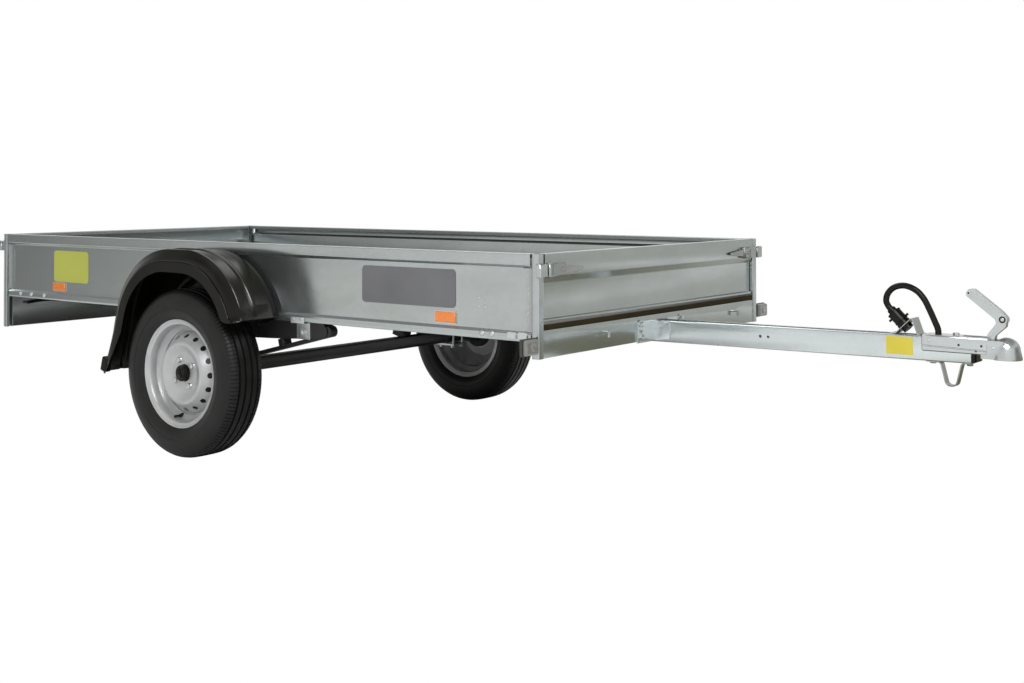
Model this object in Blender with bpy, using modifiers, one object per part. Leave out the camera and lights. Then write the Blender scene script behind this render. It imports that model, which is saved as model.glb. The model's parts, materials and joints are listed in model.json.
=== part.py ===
"""Single-axle box car trailer with folding front and rear gates.

Everything is modelled level, with the origin on the ground under the axle, +X to the
coupling, +Y to the left and +Z up. One empty then tips the whole trailer nose down, so
that it parks on its two wheels and on the foot loop under the coupling.
"""
import math

import bmesh
import bpy
from mathutils import Matrix, Vector

# Fits and sheet metal
GAP = 0.0003
MOVING_GAP = 0.005
SHEET = 0.0015
POST_SHEET = 0.0025
BEND_RADIUS = 0.003
BEND_STEPS = 2

# Load box
BOX_LENGTH = 2.722
BOX_WIDTH = 1.312
BOX_DEPTH = 0.203
AXLE_TO_FRONT = 1.398
RIDE_HEIGHT = 0.18588
FLOOR_RISE = 0.049
FLOOR_THICKNESS = 0.015
FLOOR_END_GAP = 0.006

# Side panel section, measured inward from the rail face
RAIL_HEIGHT = 0.033
RAIL_WIDTH = 0.030
RAIL_LIP = 0.014
FIELD_RECESS = 0.013
FACET_DROP = 0.008
SILL_HEIGHT = 0.029
SILL_RECESS = 0.004
SILL_WIDTH = 0.034
SILL_LIP = 0.014

# Corner posts
POST_SIDE = 0.025
POST_FRONT = 0.026
POST_RETURN = 0.029
POST_FLANGE = 0.037
FRONT_POST_DROP = 0.046
REAR_POST_DROP = 0.124

# Gates
BAND_HEIGHT = 0.065
BAND_FACET = 0.019
GATE_RECESS = 0.014
GATE_DEPTH = 0.026
GATE_LIP_RECESS = 0.005
GATE_LIP_HEIGHT = 0.008
GATE_FLOOR_GAP = 0.0065
PIVOT_RISE = 0.0055
PIVOT_RECESS = 0.009
GATE_PIN_RADIUS = 0.004
GATE_PIN_REACH = 0.012
GATE_PIN_CLEARANCE = 0.001

# Gate latches
LATCH_HEIGHT = 0.040
LATCH_DROP = 0.047
LATCH_LENGTH = 0.083
LATCH_DEPTH = 0.018
LATCH_GRIP_LENGTH = 0.090
LATCH_GRIP_SHEET = 0.006
CATCH_WIDTH = 0.037
CATCH_DEPTH = 0.017

# Members under the floor
MEMBER_SHEET = 0.002
MEMBER_FLANGE = 0.040
MEMBER_SET_BACK = 0.003
FRONT_CROSSMEMBER_X = 0.45
CROSSMEMBER_WIDTH = 0.060
CROSSMEMBER_FOOT = 0.015
HOOK_INSETS = {"left": 0.166, "right": 0.336}
HOOK_RISE = 0.005
HOOK_REACH = 0.014
HOOK_DROP = 0.017
HOOK_WIRE = 0.004

# Drawbar, a lipped channel open on top
DRAWBAR_WIDTH = 0.060
DRAWBAR_HEIGHT = 0.069
DRAWBAR_SHEET = 0.003
DRAWBAR_LIP = 0.014
DRAWBAR_BEND = 0.004
DRAWBAR_RISE = 0.016
DRAWBAR_SLOPE = 0.0092
DRAWBAR_REACH = 1.005
DRAWBAR_TAIL = 1.878
CLAMP_HOLE_REACHES = (0.368, 0.394)
CLAMP_HOLE_HEIGHT = 0.038
CLAMP_HOLE_RADIUS = 0.0045
BRACKET_HALF_WIDTH = 0.140
BRACKET_CHEEK = 0.055
BRACKET_SHEET = 0.004
BRACKET_BOLT_INSET = 0.019
BRACKET_BOLT_RADIUS = 0.009

# Tyres
TYRE_RADIUS = 0.285
TYRE_WIDTH = 0.155
TYRE_WALL = 0.010
TYRE_TO_BOX = 0.0164
WHEEL_STEPS = 40

# Pressed rims: flange, bead seat, well and the vented disc
RIM_FLANGE_RADIUS = 0.1825
RIM_FLANGE_HEIGHT = 0.0165
RIM_FLANGE_LIP = 0.005
RIM_SEAT_REACH = 0.034
RIM_WELL_DEPTH = 0.020
RIM_WELL_START = 0.048
RIM_WELL_END = 0.074
RIM_WIDTH = 0.127
RIM_SHEET = 0.004
RIM_STEPS = 32
DISC_OFFSET = 0.034
DISC_BORE = 0.029
DISC_PLATE_RADIUS = 0.066
DISC_CROWN_RISE = 0.0156
DISC_CROWN_WIDTH = 0.008
DISC_SLOPE_RUN = 0.038
DISC_WELD_REACH = 0.056
VENTS = 16
VENT_RADIUS = 0.010
WHEEL_BOLTS = 4
WHEEL_BOLT_RING = 0.050
WHEEL_BOLT_RADIUS = 0.0095
WHEEL_BOLT_HEAD = 0.007

# Hubs
HUB_FLANGE_RADIUS = 0.064
HUB_FLANGE_SHEET = 0.010
HUB_BARREL_RADIUS = 0.036
HUB_LENGTH = 0.086
HUB_CAP_HEIGHT = 0.019
HUB_STEPS = 20
STUB_RADIUS = 0.0175
STUB_COLLAR_RADIUS = 0.024
STUB_CLEARANCE = 0.001

# Axle and springs
AXLE_SIZE = 0.046
SPRING_INSET = 0.051
BEAM_PAST_SPRING = 0.035
RAIL_SECTION = 0.040
RAIL_WALL = 0.004
RAIL_HALF_LENGTH = 0.495
RAIL_BELLY = 0.072
RAIL_NOSE = 0.022
EYE_PAST_RAIL = 0.018
EYE_DROP = 0.029
EYE_RADIUS = 0.0185
LEAF_THICKNESS = 0.014
LEAF_BEND = 0.060
HANGER_SETBACK = 0.084
HANGER_WIDTH = 0.062
HANGER_SHEET = 0.004
HANGER_DROP = 0.059
HANGER_RISE = 0.017
HANGER_BOLT_DROP = 0.036
HANGER_BOLT_RADIUS = 0.009

# Mudguards, their tips and corners measured out from the tyre
GUARD_PAST_TYRE = 0.0146
GUARD_SHEET = 0.0035
GUARD_OVER_TYRE = 0.13088
GUARD_REAR_CORNER_INSET = 0.006
GUARD_REAR_TIP_REACH = 0.112
GUARD_REAR_TIP_DROP = 0.02212
GUARD_FRONT_CORNER_INSET = 0.030
GUARD_FRONT_TIP_REACH = 0.040
GUARD_FRONT_TIP_RISE = 0.19588
GUARD_RADIUS = 0.300
GUARD_STEPS = 7
GUARD_LEG_STRETCH = 2.5
GUARD_WALL = 0.110
GUARD_CHAMFER = 0.024
GUARD_RIB_INSET = 0.087
GUARD_RIB_WIDTH = 0.018
GUARD_RIB_HEIGHT = 0.005
GUARD_SHOULDER = 0.030
GUARD_SKIRT = 0.075
GUARD_SKIRT_CORNER = 0.030

# Coupling head, lever and foot loop
COUPLING_LAP = 0.139
COUPLING_SHEET = 0.003
COUPLING_SKIRT = 0.042
COUPLING_NECK = 0.040
COUPLING_STEPS = 24
BALL_REACH = 0.087
BALL_DROP = 0.03005
BALL_RADIUS = 0.0255
BALL_CLEARANCE = 0.005
HEAD_RADIUS = 0.036
HEAD_SKIRT = 0.024
HEAD_FLARE = 0.004
LEVER_SETBACK = 0.044
LEVER_RISE = 0.010
LEVER_WIDTH = 0.020
LEVER_PIN_RADIUS = 0.005
LEVER_PIN_CLEARANCE = 0.0008
LEVER_FILLET = 0.006
FOOT_SETBACK = 0.062
FOOT_DEPTH = 0.069
FOOT_WIDTH = 0.025
FOOT_STRAP = 0.004
FOOT_RADIUS = 0.016
FOOT_SPREAD = 0.028
FOOT_TAB = 0.042
END_PLUG_LENGTH = 0.018
END_PLUG_HEIGHT = 0.030

# Lamps and reflectors
LAMP_TAB_SETBACK = 0.015
LAMP_TAB_SHEET = 0.003
MARKER_SIZE = (0.025, 0.068, 0.056)
MARKER_DROP = 0.004
MARKER_OUT = 0.004
REAR_LAMP_SIZE = (0.042, 0.200, 0.100)
REAR_LAMP_DROP = 0.058
REAR_LAMP_INSET = 0.010
REFLECTOR_SIZE = (0.080, 0.006, 0.032)
REFLECTOR_RISE = 0.024
REFLECTOR_INSETS = {"front": 0.356, "rear": 0.376}

# Plug, its holder and its lead
PLUG_HOLDER_SETBACK = 0.217
PLUG_HOLDER_RISE = 0.046
PLUG_HOLDER_RAMP = 0.020
PLUG_HOLDER_FOOT = 0.014
PLUG_HOLDER_SHEET = 0.0025
PLUG_RADIUS = 0.0165
PLUG_COLLAR = 0.004
PLUG_GLAND = 0.014
PLUG_GLAND_RADIUS = 0.0115
PLUG_LENGTH = 0.050
LEAD_RADIUS = 0.009
LEAD_ENTRY = 0.038

HALF_WIDTH = BOX_WIDTH / 2
BOX_FRONT = AXLE_TO_FRONT
BOX_REAR = AXLE_TO_FRONT - BOX_LENGTH
AXLE_Z = TYRE_RADIUS * math.cos(math.pi / WHEEL_STEPS)
SILL_BOTTOM = AXLE_Z + RIDE_HEIGHT
SILL_TOP = SILL_BOTTOM + SILL_HEIGHT
FLOOR_TOP = SILL_BOTTOM + FLOOR_RISE
FLOOR_UNDERSIDE = FLOOR_TOP - FLOOR_THICKNESS
BOX_TOP = FLOOR_TOP + BOX_DEPTH
FRONT_POST_BOTTOM = SILL_BOTTOM - FRONT_POST_DROP
REAR_POST_BOTTOM = SILL_BOTTOM - REAR_POST_DROP
GATE_HALF = HALF_WIDTH - POST_FRONT - MOVING_GAP
GATE_BOTTOM = FLOOR_TOP + GATE_FLOOR_GAP
PIVOT_Z = GATE_BOTTOM + PIVOT_RISE
LATCH_Z = BOX_TOP - LATCH_DROP
DRAWBAR_TOP_AT_BOX = SILL_BOTTOM + DRAWBAR_RISE
DRAWBAR_FRONT = BOX_FRONT + DRAWBAR_REACH
DRAWBAR_REAR = BOX_FRONT - DRAWBAR_TAIL
WHEEL_Y = HALF_WIDTH + TYRE_TO_BOX + TYRE_WIDTH / 2
RIM_SEAT_RADIUS = RIM_FLANGE_RADIUS - RIM_FLANGE_HEIGHT
RIM_WELL_RADIUS = RIM_SEAT_RADIUS - RIM_WELL_DEPTH
RIM_OUTER_Y = WHEEL_Y + RIM_WIDTH / 2
DISC_BACK_Y = WHEEL_Y + DISC_OFFSET
DISC_Y = DISC_BACK_Y + RIM_SHEET
CROWN_Y = DISC_Y + DISC_CROWN_RISE
CROWN_RADIUS = RIM_WELL_RADIUS - RIM_SHEET - DISC_SLOPE_RUN
WELD_Y = RIM_OUTER_Y - DISC_WELD_REACH
HUB_REAR = DISC_BACK_Y - GAP - HUB_LENGTH
SPRING_Y = HALF_WIDTH - SPRING_INSET
AXLE_BEAM_HALF = SPRING_Y + BEAM_PAST_SPRING
EYE_X = RAIL_HALF_LENGTH + EYE_PAST_RAIL
EYE_Z = SILL_BOTTOM - EYE_DROP
LEAF_WIDTH = RAIL_SECTION - 2 * (RAIL_WALL + GAP)
GUARD_INNER_Y = HALF_WIDTH + 2 * GAP
GUARD_OUTER_Y = WHEEL_Y + TYRE_WIDTH / 2 + GUARD_PAST_TYRE
GUARD_TOP = AXLE_Z + TYRE_RADIUS + GUARD_OVER_TYRE
COUPLING_REAR = DRAWBAR_FRONT - COUPLING_LAP
BALL_X = DRAWBAR_FRONT + BALL_REACH
BALL_Z = DRAWBAR_TOP_AT_BOX + DRAWBAR_SLOPE * (BALL_X - BOX_FRONT) - BALL_DROP
LEVER_PIVOT_X = BALL_X - LEVER_SETBACK
LEVER_PIVOT_Z = BALL_Z + LEVER_RISE
FOOT_X = DRAWBAR_FRONT - FOOT_SETBACK
PLUG_HOLDER_X = DRAWBAR_FRONT - PLUG_HOLDER_SETBACK
SIDES = {"left": 1, "right": -1}
ENDS = {"front": 1, "rear": -1}

GALVANISED = ("galvanised_steel", (0.62, 0.66, 0.67), 0.35, 0.9)
SATIN_STEEL = ("satin_steel", (0.50, 0.51, 0.52), 0.4, 0.8)
BLACK_PAINT = ("black_paint", (0.015, 0.015, 0.016), 0.45, 0.0)
BLACK_PLASTIC = ("black_plastic", (0.020, 0.020, 0.020), 0.5, 0.0)
PLYWOOD = ("phenolic_plywood", (0.10, 0.06, 0.035), 0.55, 0.0)
RUBBER = ("tyre_rubber", (0.03, 0.03, 0.03), 0.8, 0.0)
RIM_PAINT = ("silver_paint", (0.66, 0.67, 0.68), 0.35, 0.6)
AMBER = ("amber_lens", (0.95, 0.32, 0.02), 0.25, 0.0)
CLEAR = ("clear_lens", (0.75, 0.75, 0.72), 0.2, 0.0)
RED = ("red_lens", (0.60, 0.02, 0.02), 0.25, 0.0)

PARTS = None
CUTTERS = None
FRAME = None


def start_scene():
    """Empty the scene and make the two collections and the tipping frame."""
    global PARTS, CUTTERS, FRAME
    for old in list(bpy.data.objects):
        bpy.data.objects.remove(old)
    PARTS = bpy.data.collections.new("car_trailer")
    CUTTERS = bpy.data.collections.new("cutters")
    bpy.context.scene.collection.children.link(PARTS)
    bpy.context.scene.collection.children.link(CUTTERS)
    FRAME = new_empty("parked_frame", (0, 0, 0), None)


def new_empty(name, place, parent):
    """An empty that carries a group of pieces."""
    empty = bpy.data.objects.new(name, None)
    empty.location = place
    empty.parent = parent
    PARTS.objects.link(empty)
    return empty


def paint(obj, finish):
    """Give an object the plain material of its finish."""
    name, colour, roughness, metallic = finish
    mat = bpy.data.materials.get(name)
    if mat is None:
        mat = bpy.data.materials.new(name)
        mat.use_nodes = True
        shader = mat.node_tree.nodes["Principled BSDF"]
        shader.inputs["Base Color"].default_value = (*colour, 1)
        shader.inputs["Roughness"].default_value = roughness
        shader.inputs["Metallic"].default_value = metallic
    obj.data.materials.append(mat)


def from_bmesh(name, bm, finish, parent=None, smooth=False):
    """Turn a bmesh into a named, painted object in the frame or on its joint."""
    mesh = bpy.data.meshes.new(name)
    bmesh.ops.recalc_face_normals(bm, faces=bm.faces)
    bm.to_mesh(mesh)
    bm.free()
    obj = bpy.data.objects.new(name, mesh)
    (PARTS if finish else CUTTERS).objects.link(obj)
    if finish:
        paint(obj, finish)
    else:
        obj.hide_render = True
        obj.display_type = "WIRE"
    if smooth:
        mesh.shade_smooth()
        mesh.set_sharp_from_angle(angle=math.radians(35))
    attach(obj, parent or FRAME)
    return obj


def attach(obj, parent):
    """Parent an object that was modelled in frame coordinates."""
    obj.parent = parent
    if parent is not FRAME:
        obj.matrix_parent_inverse = joint_place(parent).inverted()


def joint_place(empty):
    """A joint empty's place in frame coordinates."""
    return Matrix.Translation(empty.location)


def box(name, low, high, finish=None, parent=None, bevel=0.0):
    """An upright block between two corners."""
    low, high = Vector(low), Vector(high)
    bm = bmesh.new()
    place = Matrix.Translation((low + high) / 2) @ Matrix.Diagonal((*(high - low), 1))
    bmesh.ops.create_cube(bm, size=1, matrix=place)
    obj = from_bmesh(name, bm, finish, parent)
    if bevel:
        add_bevel(obj, bevel)
    return obj


def mirrored_box(name, low, high, side, finish=None, parent=None, bevel=0.0):
    """A block given for the left side, put on either side."""
    y_values = sorted((low[1] * side, high[1] * side))
    return box(name, (low[0], y_values[0], low[2]), (high[0], y_values[1], high[2]),
               finish, parent, bevel)


def add_bevel(obj, width, segments=1):
    """Break the sharp edges of an object."""
    bevel = obj.modifiers.new("edges", "BEVEL")
    bevel.width = width
    bevel.segments = segments
    bevel.limit_method = "ANGLE"
    bevel.angle_limit = math.radians(40)


def cylinder(name, start, end, radius, finish=None, parent=None, sides=16):
    """A round bar between two points."""
    start, end = Vector(start), Vector(end)
    turn = (end - start).to_track_quat("Z", "Y").to_matrix().to_4x4()
    bm = bmesh.new()
    bmesh.ops.create_cone(bm, cap_ends=True, segments=sides, radius1=radius, radius2=radius,
                          depth=(end - start).length,
                          matrix=Matrix.Translation((start + end) / 2) @ turn)
    return from_bmesh(name, bm, finish, parent, smooth=True)


def rounded(points, radius, steps, closed=False):
    """Replace each corner of an outline with an arc, less than the legs it joins."""
    points = [Vector(p) for p in points]
    count = len(points)
    out = []
    for i, corner in enumerate(points):
        if not closed and i in (0, count - 1):
            out.append(corner)
            continue
        back = points[i - 1] - corner
        ahead = points[(i + 1) % count] - corner
        turn = math.pi - back.angle(ahead)
        reach = min(radius * math.tan(turn / 2), 0.45 * back.length, 0.45 * ahead.length)
        if turn < math.radians(2):
            out.append(corner)
            continue
        tight = reach / math.tan(turn / 2)
        inward = (back.normalized() + ahead.normalized()).normalized()
        centre = corner + inward * (tight / math.cos(turn / 2))
        start = corner + back.normalized() * reach - centre
        sense = 1 if start.cross(corner + ahead.normalized() * reach - centre) > 0 else -1
        for k in range(steps + 1):
            angle = sense * turn * k / steps
            c, s = math.cos(angle), math.sin(angle)
            out.append(centre + Vector((c * start.x - s * start.y, s * start.x + c * start.y)))
    return out


def sheet_outline(section, sheet, radius=BEND_RADIUS, steps=BEND_STEPS):
    """Closed outline of a bent sheet, whose thickness lies to the left of its section."""
    outer = rounded(section, radius, steps)
    inner = []
    for i, point in enumerate(outer):
        legs = []
        if i > 0:
            legs.append((point - outer[i - 1]).normalized())
        if i < len(outer) - 1:
            legs.append((outer[i + 1] - point).normalized())
        along = (legs[0] + legs[-1]).normalized()
        left = Vector((-along.y, along.x))
        inner.append(point + left * (sheet / max(0.2, along.dot(legs[0]))))
    return outer + inner[::-1]


def prism(name, outline, low, high, axis="Y", finish=None, parent=None, smooth=False):
    """A closed flat outline carried along an axis."""
    place = {"X": lambda u, v, w: (w, u, v), "Y": lambda u, v, w: (u, w, v),
             "Z": lambda u, v, w: (u, v, w)}[axis]
    bm = bmesh.new()
    face = bm.faces.new([bm.verts.new(place(p[0], p[1], low)) for p in outline])
    made = bmesh.ops.extrude_face_region(bm, geom=[face])["geom"]
    bmesh.ops.translate(bm, vec=place(0, 0, high - low),
                        verts=[v for v in made if isinstance(v, bmesh.types.BMVert)])
    return from_bmesh(name, bm, finish, parent, smooth)


def turned(name, profile, side, finish, parent, closed=True, steps=WHEEL_STEPS):
    """A turned piece on the wheel axis, from (radius, distance out from the middle)."""
    bm = bmesh.new()
    verts = [bm.verts.new((r, 0, y)) for r, y in profile]
    for a, b in zip(verts, verts[1:]):
        bm.edges.new((a, b))
    if closed:
        bm.edges.new((verts[-1], verts[0]))
    mesh = bpy.data.meshes.new(name)
    bm.to_mesh(mesh)
    bm.free()
    obj = bpy.data.objects.new(name, mesh)
    PARTS.objects.link(obj)
    paint(obj, finish)
    screw = obj.modifiers.new("turn", "SCREW")
    screw.steps = steps
    screw.render_steps = steps
    screw.use_merge_vertices = True
    screw.merge_threshold = 0.00005
    obj.parent = parent
    half_step = math.pi / steps
    obj.matrix_parent_inverse = Matrix.Identity(4)
    face_down = math.pi / 2 - half_step
    obj.matrix_local = Matrix.Rotation(-side * math.pi / 2, 4, "X") @ Matrix.Rotation(face_down, 4, "Z")
    return obj


def evaluated_mesh(obj):
    """The mesh that an object shows with its modifiers."""
    bpy.context.view_layer.update()
    return bpy.data.meshes.new_from_object(obj.evaluated_get(bpy.context.evaluated_depsgraph_get()))


def combine(obj, tools, operation):
    """Join or cut an object with others, and remove the others."""
    for tool in tools:
        tool.hide_render = True
        tool.display_type = "WIRE"
        step = obj.modifiers.new(operation.lower(), "BOOLEAN")
        step.operation = operation
        step.solver = "EXACT"
        step.object = tool
    mesh = evaluated_mesh(obj)
    materials = list(obj.data.materials)
    obj.modifiers.clear()
    obj.data = mesh
    mesh.materials.clear()
    for mat in materials:
        mesh.materials.append(mat)
    for tool in tools:
        bpy.data.objects.remove(tool)
    return obj


def tube(name, points, radius, finish, parent=None, resolution=2):
    """A round tube along a smooth path."""
    curve = bpy.data.curves.new(name, "CURVE")
    curve.dimensions = "3D"
    curve.bevel_depth = radius
    curve.bevel_resolution = resolution
    curve.use_fill_caps = True
    spline = curve.splines.new("POLY")
    spline.points.add(len(points) - 1)
    for point, place in zip(spline.points, points):
        point.co = (*place, 1)
    obj = bpy.data.objects.new(name, curve)
    PARTS.objects.link(obj)
    paint(obj, finish)
    attach(obj, parent or FRAME)
    return obj


def smooth_path(route, spacing):
    """Points of a Catmull-Rom curve through a route."""
    route = [Vector(p) for p in route]
    ends = [2 * route[0] - route[1], *route, 2 * route[-1] - route[-2]]
    out = []
    for a, b, c, d in zip(ends, ends[1:], ends[2:], ends[3:]):
        steps = max(2, round((c - b).length / spacing))
        for k in range(steps):
            t = k / steps
            out.append(0.5 * (2 * b + (c - a) * t + (2 * a - 5 * b + 4 * c - d) * t ** 2
                              + (3 * b - a - 3 * c + d) * t ** 3))
    return out + [route[-1]]


def drawbar_top(x):
    """Height of the drawbar's top at a station."""
    return DRAWBAR_TOP_AT_BOX + DRAWBAR_SLOPE * (x - BOX_FRONT)


def drawbar_bottom(x):
    """Height of the drawbar's underside at a station."""
    return drawbar_top(x) - DRAWBAR_HEIGHT


def end_x(end, inward):
    """A station measured inward from the front or rear face of the box."""
    return BOX_FRONT - inward if end == "front" else BOX_REAR + inward


def build_floor():
    """The plywood load floor, notched round the four corner posts."""
    half = HALF_WIDTH - FIELD_RECESS - SHEET - GAP
    floor = box("floor_board", (BOX_REAR + FLOOR_END_GAP, -half, FLOOR_UNDERSIDE),
                (BOX_FRONT - FLOOR_END_GAP, half, FLOOR_TOP), PLYWOOD)
    notch = HALF_WIDTH - POST_FRONT - GAP
    cutters = []
    for end in ENDS:
        for side in SIDES.values():
            x_values = sorted((end_x(end, POST_RETURN + GAP), end_x(end, -POST_RETURN)))
            cutters.append(mirrored_box("notch", (x_values[0], notch, FLOOR_UNDERSIDE - FLOOR_THICKNESS),
                                        (x_values[1], HALF_WIDTH, FLOOR_TOP + FLOOR_THICKNESS), side))
    combine(floor, cutters, "DIFFERENCE")


def build_side_panels():
    """The folded side panels: hollow top rail, recessed field and boxed sill."""
    rail_bottom = BOX_TOP - RAIL_HEIGHT
    section = [(RAIL_WIDTH, BOX_TOP - RAIL_LIP), (RAIL_WIDTH, BOX_TOP), (0, BOX_TOP),
               (0, rail_bottom), (FIELD_RECESS, rail_bottom - FACET_DROP),
               (FIELD_RECESS, SILL_TOP), (SILL_RECESS, SILL_TOP - FACET_DROP),
               (SILL_RECESS, SILL_BOTTOM), (SILL_WIDTH, SILL_BOTTOM),
               (SILL_WIDTH, SILL_BOTTOM + SILL_LIP)]
    low = BOX_REAR + POST_RETURN + 4 * GAP
    high = BOX_FRONT - POST_RETURN - 4 * GAP
    outline = sheet_outline(section, SHEET)
    for name, side in SIDES.items():
        placed = [(side * (HALF_WIDTH - inward), z) for inward, z in outline]
        prism(f"side_panel_{name}", placed, low, high, "X", GALVANISED)


def build_post(end, side_name, side):
    """A corner post: a folded channel with a flange on the side panel, and its gate catch."""
    flange_y = FIELD_RECESS - GAP - POST_SHEET
    section = [(POST_RETURN, POST_FRONT), (0, POST_FRONT), (0, 0), (POST_SIDE, 0),
               (POST_SIDE, flange_y), (POST_SIDE + POST_FLANGE, flange_y)]
    placed = [(end_x(end, u), side * (HALF_WIDTH - v)) for u, v in sheet_outline(section, POST_SHEET)]
    bottom = FRONT_POST_BOTTOM if end == "front" else REAR_POST_BOTTOM
    post = prism(f"corner_post_{end}_{side_name}", placed, bottom, BOX_TOP, "Z", GALVANISED)
    inner, outer = sorted((end_x(end, POST_SIDE + 2 * GAP), end_x(end, POST_SIDE + 2 * POST_FLANGE)))
    rail_bottom = BOX_TOP - RAIL_HEIGHT - FACET_DROP - 3 * GAP
    skin = HALF_WIDTH - FIELD_RECESS - 2 * POST_SHEET
    cutters = [mirrored_box("over", (inner, skin, rail_bottom),
                            (outer, HALF_WIDTH + POST_SHEET, BOX_TOP + POST_SHEET), side),
               mirrored_box("under", (inner, skin, bottom - POST_SHEET),
                            (outer, HALF_WIDTH + POST_SHEET, SILL_TOP + FACET_DROP / 2), side)]
    pin_y = HALF_WIDTH - POST_FRONT
    pin_x = end_x(end, PIVOT_RECESS)
    cutters.append(cylinder("pin_hole", (pin_x, side * (pin_y - POST_SHEET), PIVOT_Z),
                            (pin_x, side * (pin_y + 2 * POST_SHEET), PIVOT_Z),
                            GATE_PIN_RADIUS + GATE_PIN_CLEARANCE, sides=12))
    combine(post, cutters, "DIFFERENCE")
    x_values = sorted((end_x(end, POST_SHEET / 2), end_x(end, -CATCH_DEPTH)))
    catch_y = HALF_WIDTH - POST_FRONT + 0.002
    extras = [mirrored_box("catch", (x_values[0], catch_y, LATCH_Z - LATCH_HEIGHT / 2),
                           (x_values[1], catch_y + CATCH_WIDTH, LATCH_Z + LATCH_HEIGHT / 2),
                           side, bevel=0.003)]
    if end == "front":
        lamp_back = BOX_FRONT - LAMP_TAB_SETBACK
        middle, tall = SILL_BOTTOM - MARKER_DROP, MARKER_SIZE[2] / 3
        extras.append(mirrored_box("lamp_tab", (lamp_back - LAMP_TAB_SHEET, HALF_WIDTH - POST_SHEET / 2,
                                                middle - tall),
                                   (lamp_back, HALF_WIDTH + MARKER_OUT + MARKER_SIZE[1] - 0.01,
                                    middle + tall), side))
    combine(post, extras, "UNION")


def build_front_crossmember():
    """The folded front crossmember, opened for the drawbar, with two rope hooks."""
    web = MEMBER_SET_BACK
    half = HALF_WIDTH - POST_FRONT - GAP
    top = FLOOR_UNDERSIDE - GAP
    section = [(MEMBER_FLANGE, top), (web, top), (web, FRONT_POST_BOTTOM),
               (MEMBER_FLANGE * 0.75, FRONT_POST_BOTTOM)]
    placed = [(BOX_FRONT - u, z) for u, z in sheet_outline(section, MEMBER_SHEET)]
    member = prism("front_crossmember", placed, -half, half, "Y", GALVANISED)
    hole_half = DRAWBAR_WIDTH / 2 + GAP
    window = box("window", (BOX_FRONT - 2 * MEMBER_FLANGE, -hole_half, FRONT_POST_BOTTOM - MEMBER_FLANGE),
                 (BOX_FRONT + MEMBER_FLANGE, hole_half, drawbar_top(BOX_FRONT) + GAP))
    combine(member, [window], "DIFFERENCE")
    hooks = []
    z = SILL_BOTTOM + HOOK_RISE
    tip = BOX_FRONT + HOOK_REACH
    for name, inset in HOOK_INSETS.items():
        y = SIDES[name] * (HALF_WIDTH - inset)
        hooks.append(cylinder("hook", (BOX_FRONT - web - MEMBER_SHEET / 2, y, z), (tip, y, z), HOOK_WIRE,
                              sides=8))
        hooks.append(cylinder("hook_tip", (tip, y, z + HOOK_WIRE / 2), (tip, y, z - HOOK_DROP),
                              HOOK_WIRE * 1.12, sides=8))
    combine(member, hooks, "UNION")


def build_rear_light_panel():
    """The deep rear crossmember that carries the rear lamps."""
    web = MEMBER_SET_BACK
    half = HALF_WIDTH - POST_FRONT - GAP
    top = FLOOR_UNDERSIDE - GAP
    section = [(MEMBER_FLANGE, top), (web, top), (web, REAR_POST_BOTTOM),
               (MEMBER_FLANGE / 2, REAR_POST_BOTTOM)]
    placed = [(BOX_REAR + u, z) for u, z in sheet_outline(section, MEMBER_SHEET)]
    prism("rear_light_panel", placed, -half, half, "Y", GALVANISED)


def build_floor_crossmembers():
    """Two top-hat members between the sills, resting on the drawbar, one at its tail."""
    half = HALF_WIDTH - SILL_WIDTH - GAP
    top = FLOOR_UNDERSIDE - GAP
    wide = CROSSMEMBER_WIDTH / 2
    toe = wide + CROSSMEMBER_FOOT
    for end, centre in (("front", FRONT_CROSSMEMBER_X), ("rear", DRAWBAR_REAR + wide)):
        foot = drawbar_top(centre + toe + 0.005) + GAP + MEMBER_SHEET
        section = [(toe, foot), (wide, foot), (wide, top), (-wide, top), (-wide, foot), (-toe, foot)]
        placed = [(centre + u, z) for u, z in sheet_outline(section, MEMBER_SHEET)]
        prism(f"floor_crossmember_{end}", placed, -half, half, "Y", GALVANISED)


def build_drawbar():
    """The lipped channel drawbar, open on top, with its jockey clamp holes."""
    half = DRAWBAR_WIDTH / 2
    section = [(-half + DRAWBAR_LIP, DRAWBAR_HEIGHT), (-half, DRAWBAR_HEIGHT), (-half, 0),
               (half, 0), (half, DRAWBAR_HEIGHT), (half - DRAWBAR_LIP, DRAWBAR_HEIGHT)]
    bar = prism("drawbar", sheet_outline(section, DRAWBAR_SHEET, DRAWBAR_BEND), DRAWBAR_REAR, DRAWBAR_FRONT,
                "X", GALVANISED)
    shear = Matrix.Identity(4)
    shear[2][0] = DRAWBAR_SLOPE
    bar.data.transform(Matrix.Translation((0, 0, drawbar_bottom(0))) @ shear)
    holes = []
    for reach in CLAMP_HOLE_REACHES:
        x = BOX_FRONT + reach
        z = drawbar_bottom(x) + CLAMP_HOLE_HEIGHT
        holes.append(cylinder("clamp_hole", (x, -DRAWBAR_WIDTH, z), (x, DRAWBAR_WIDTH, z),
                              CLAMP_HOLE_RADIUS, sides=10))
    combine(bar, holes, "DIFFERENCE")


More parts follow.
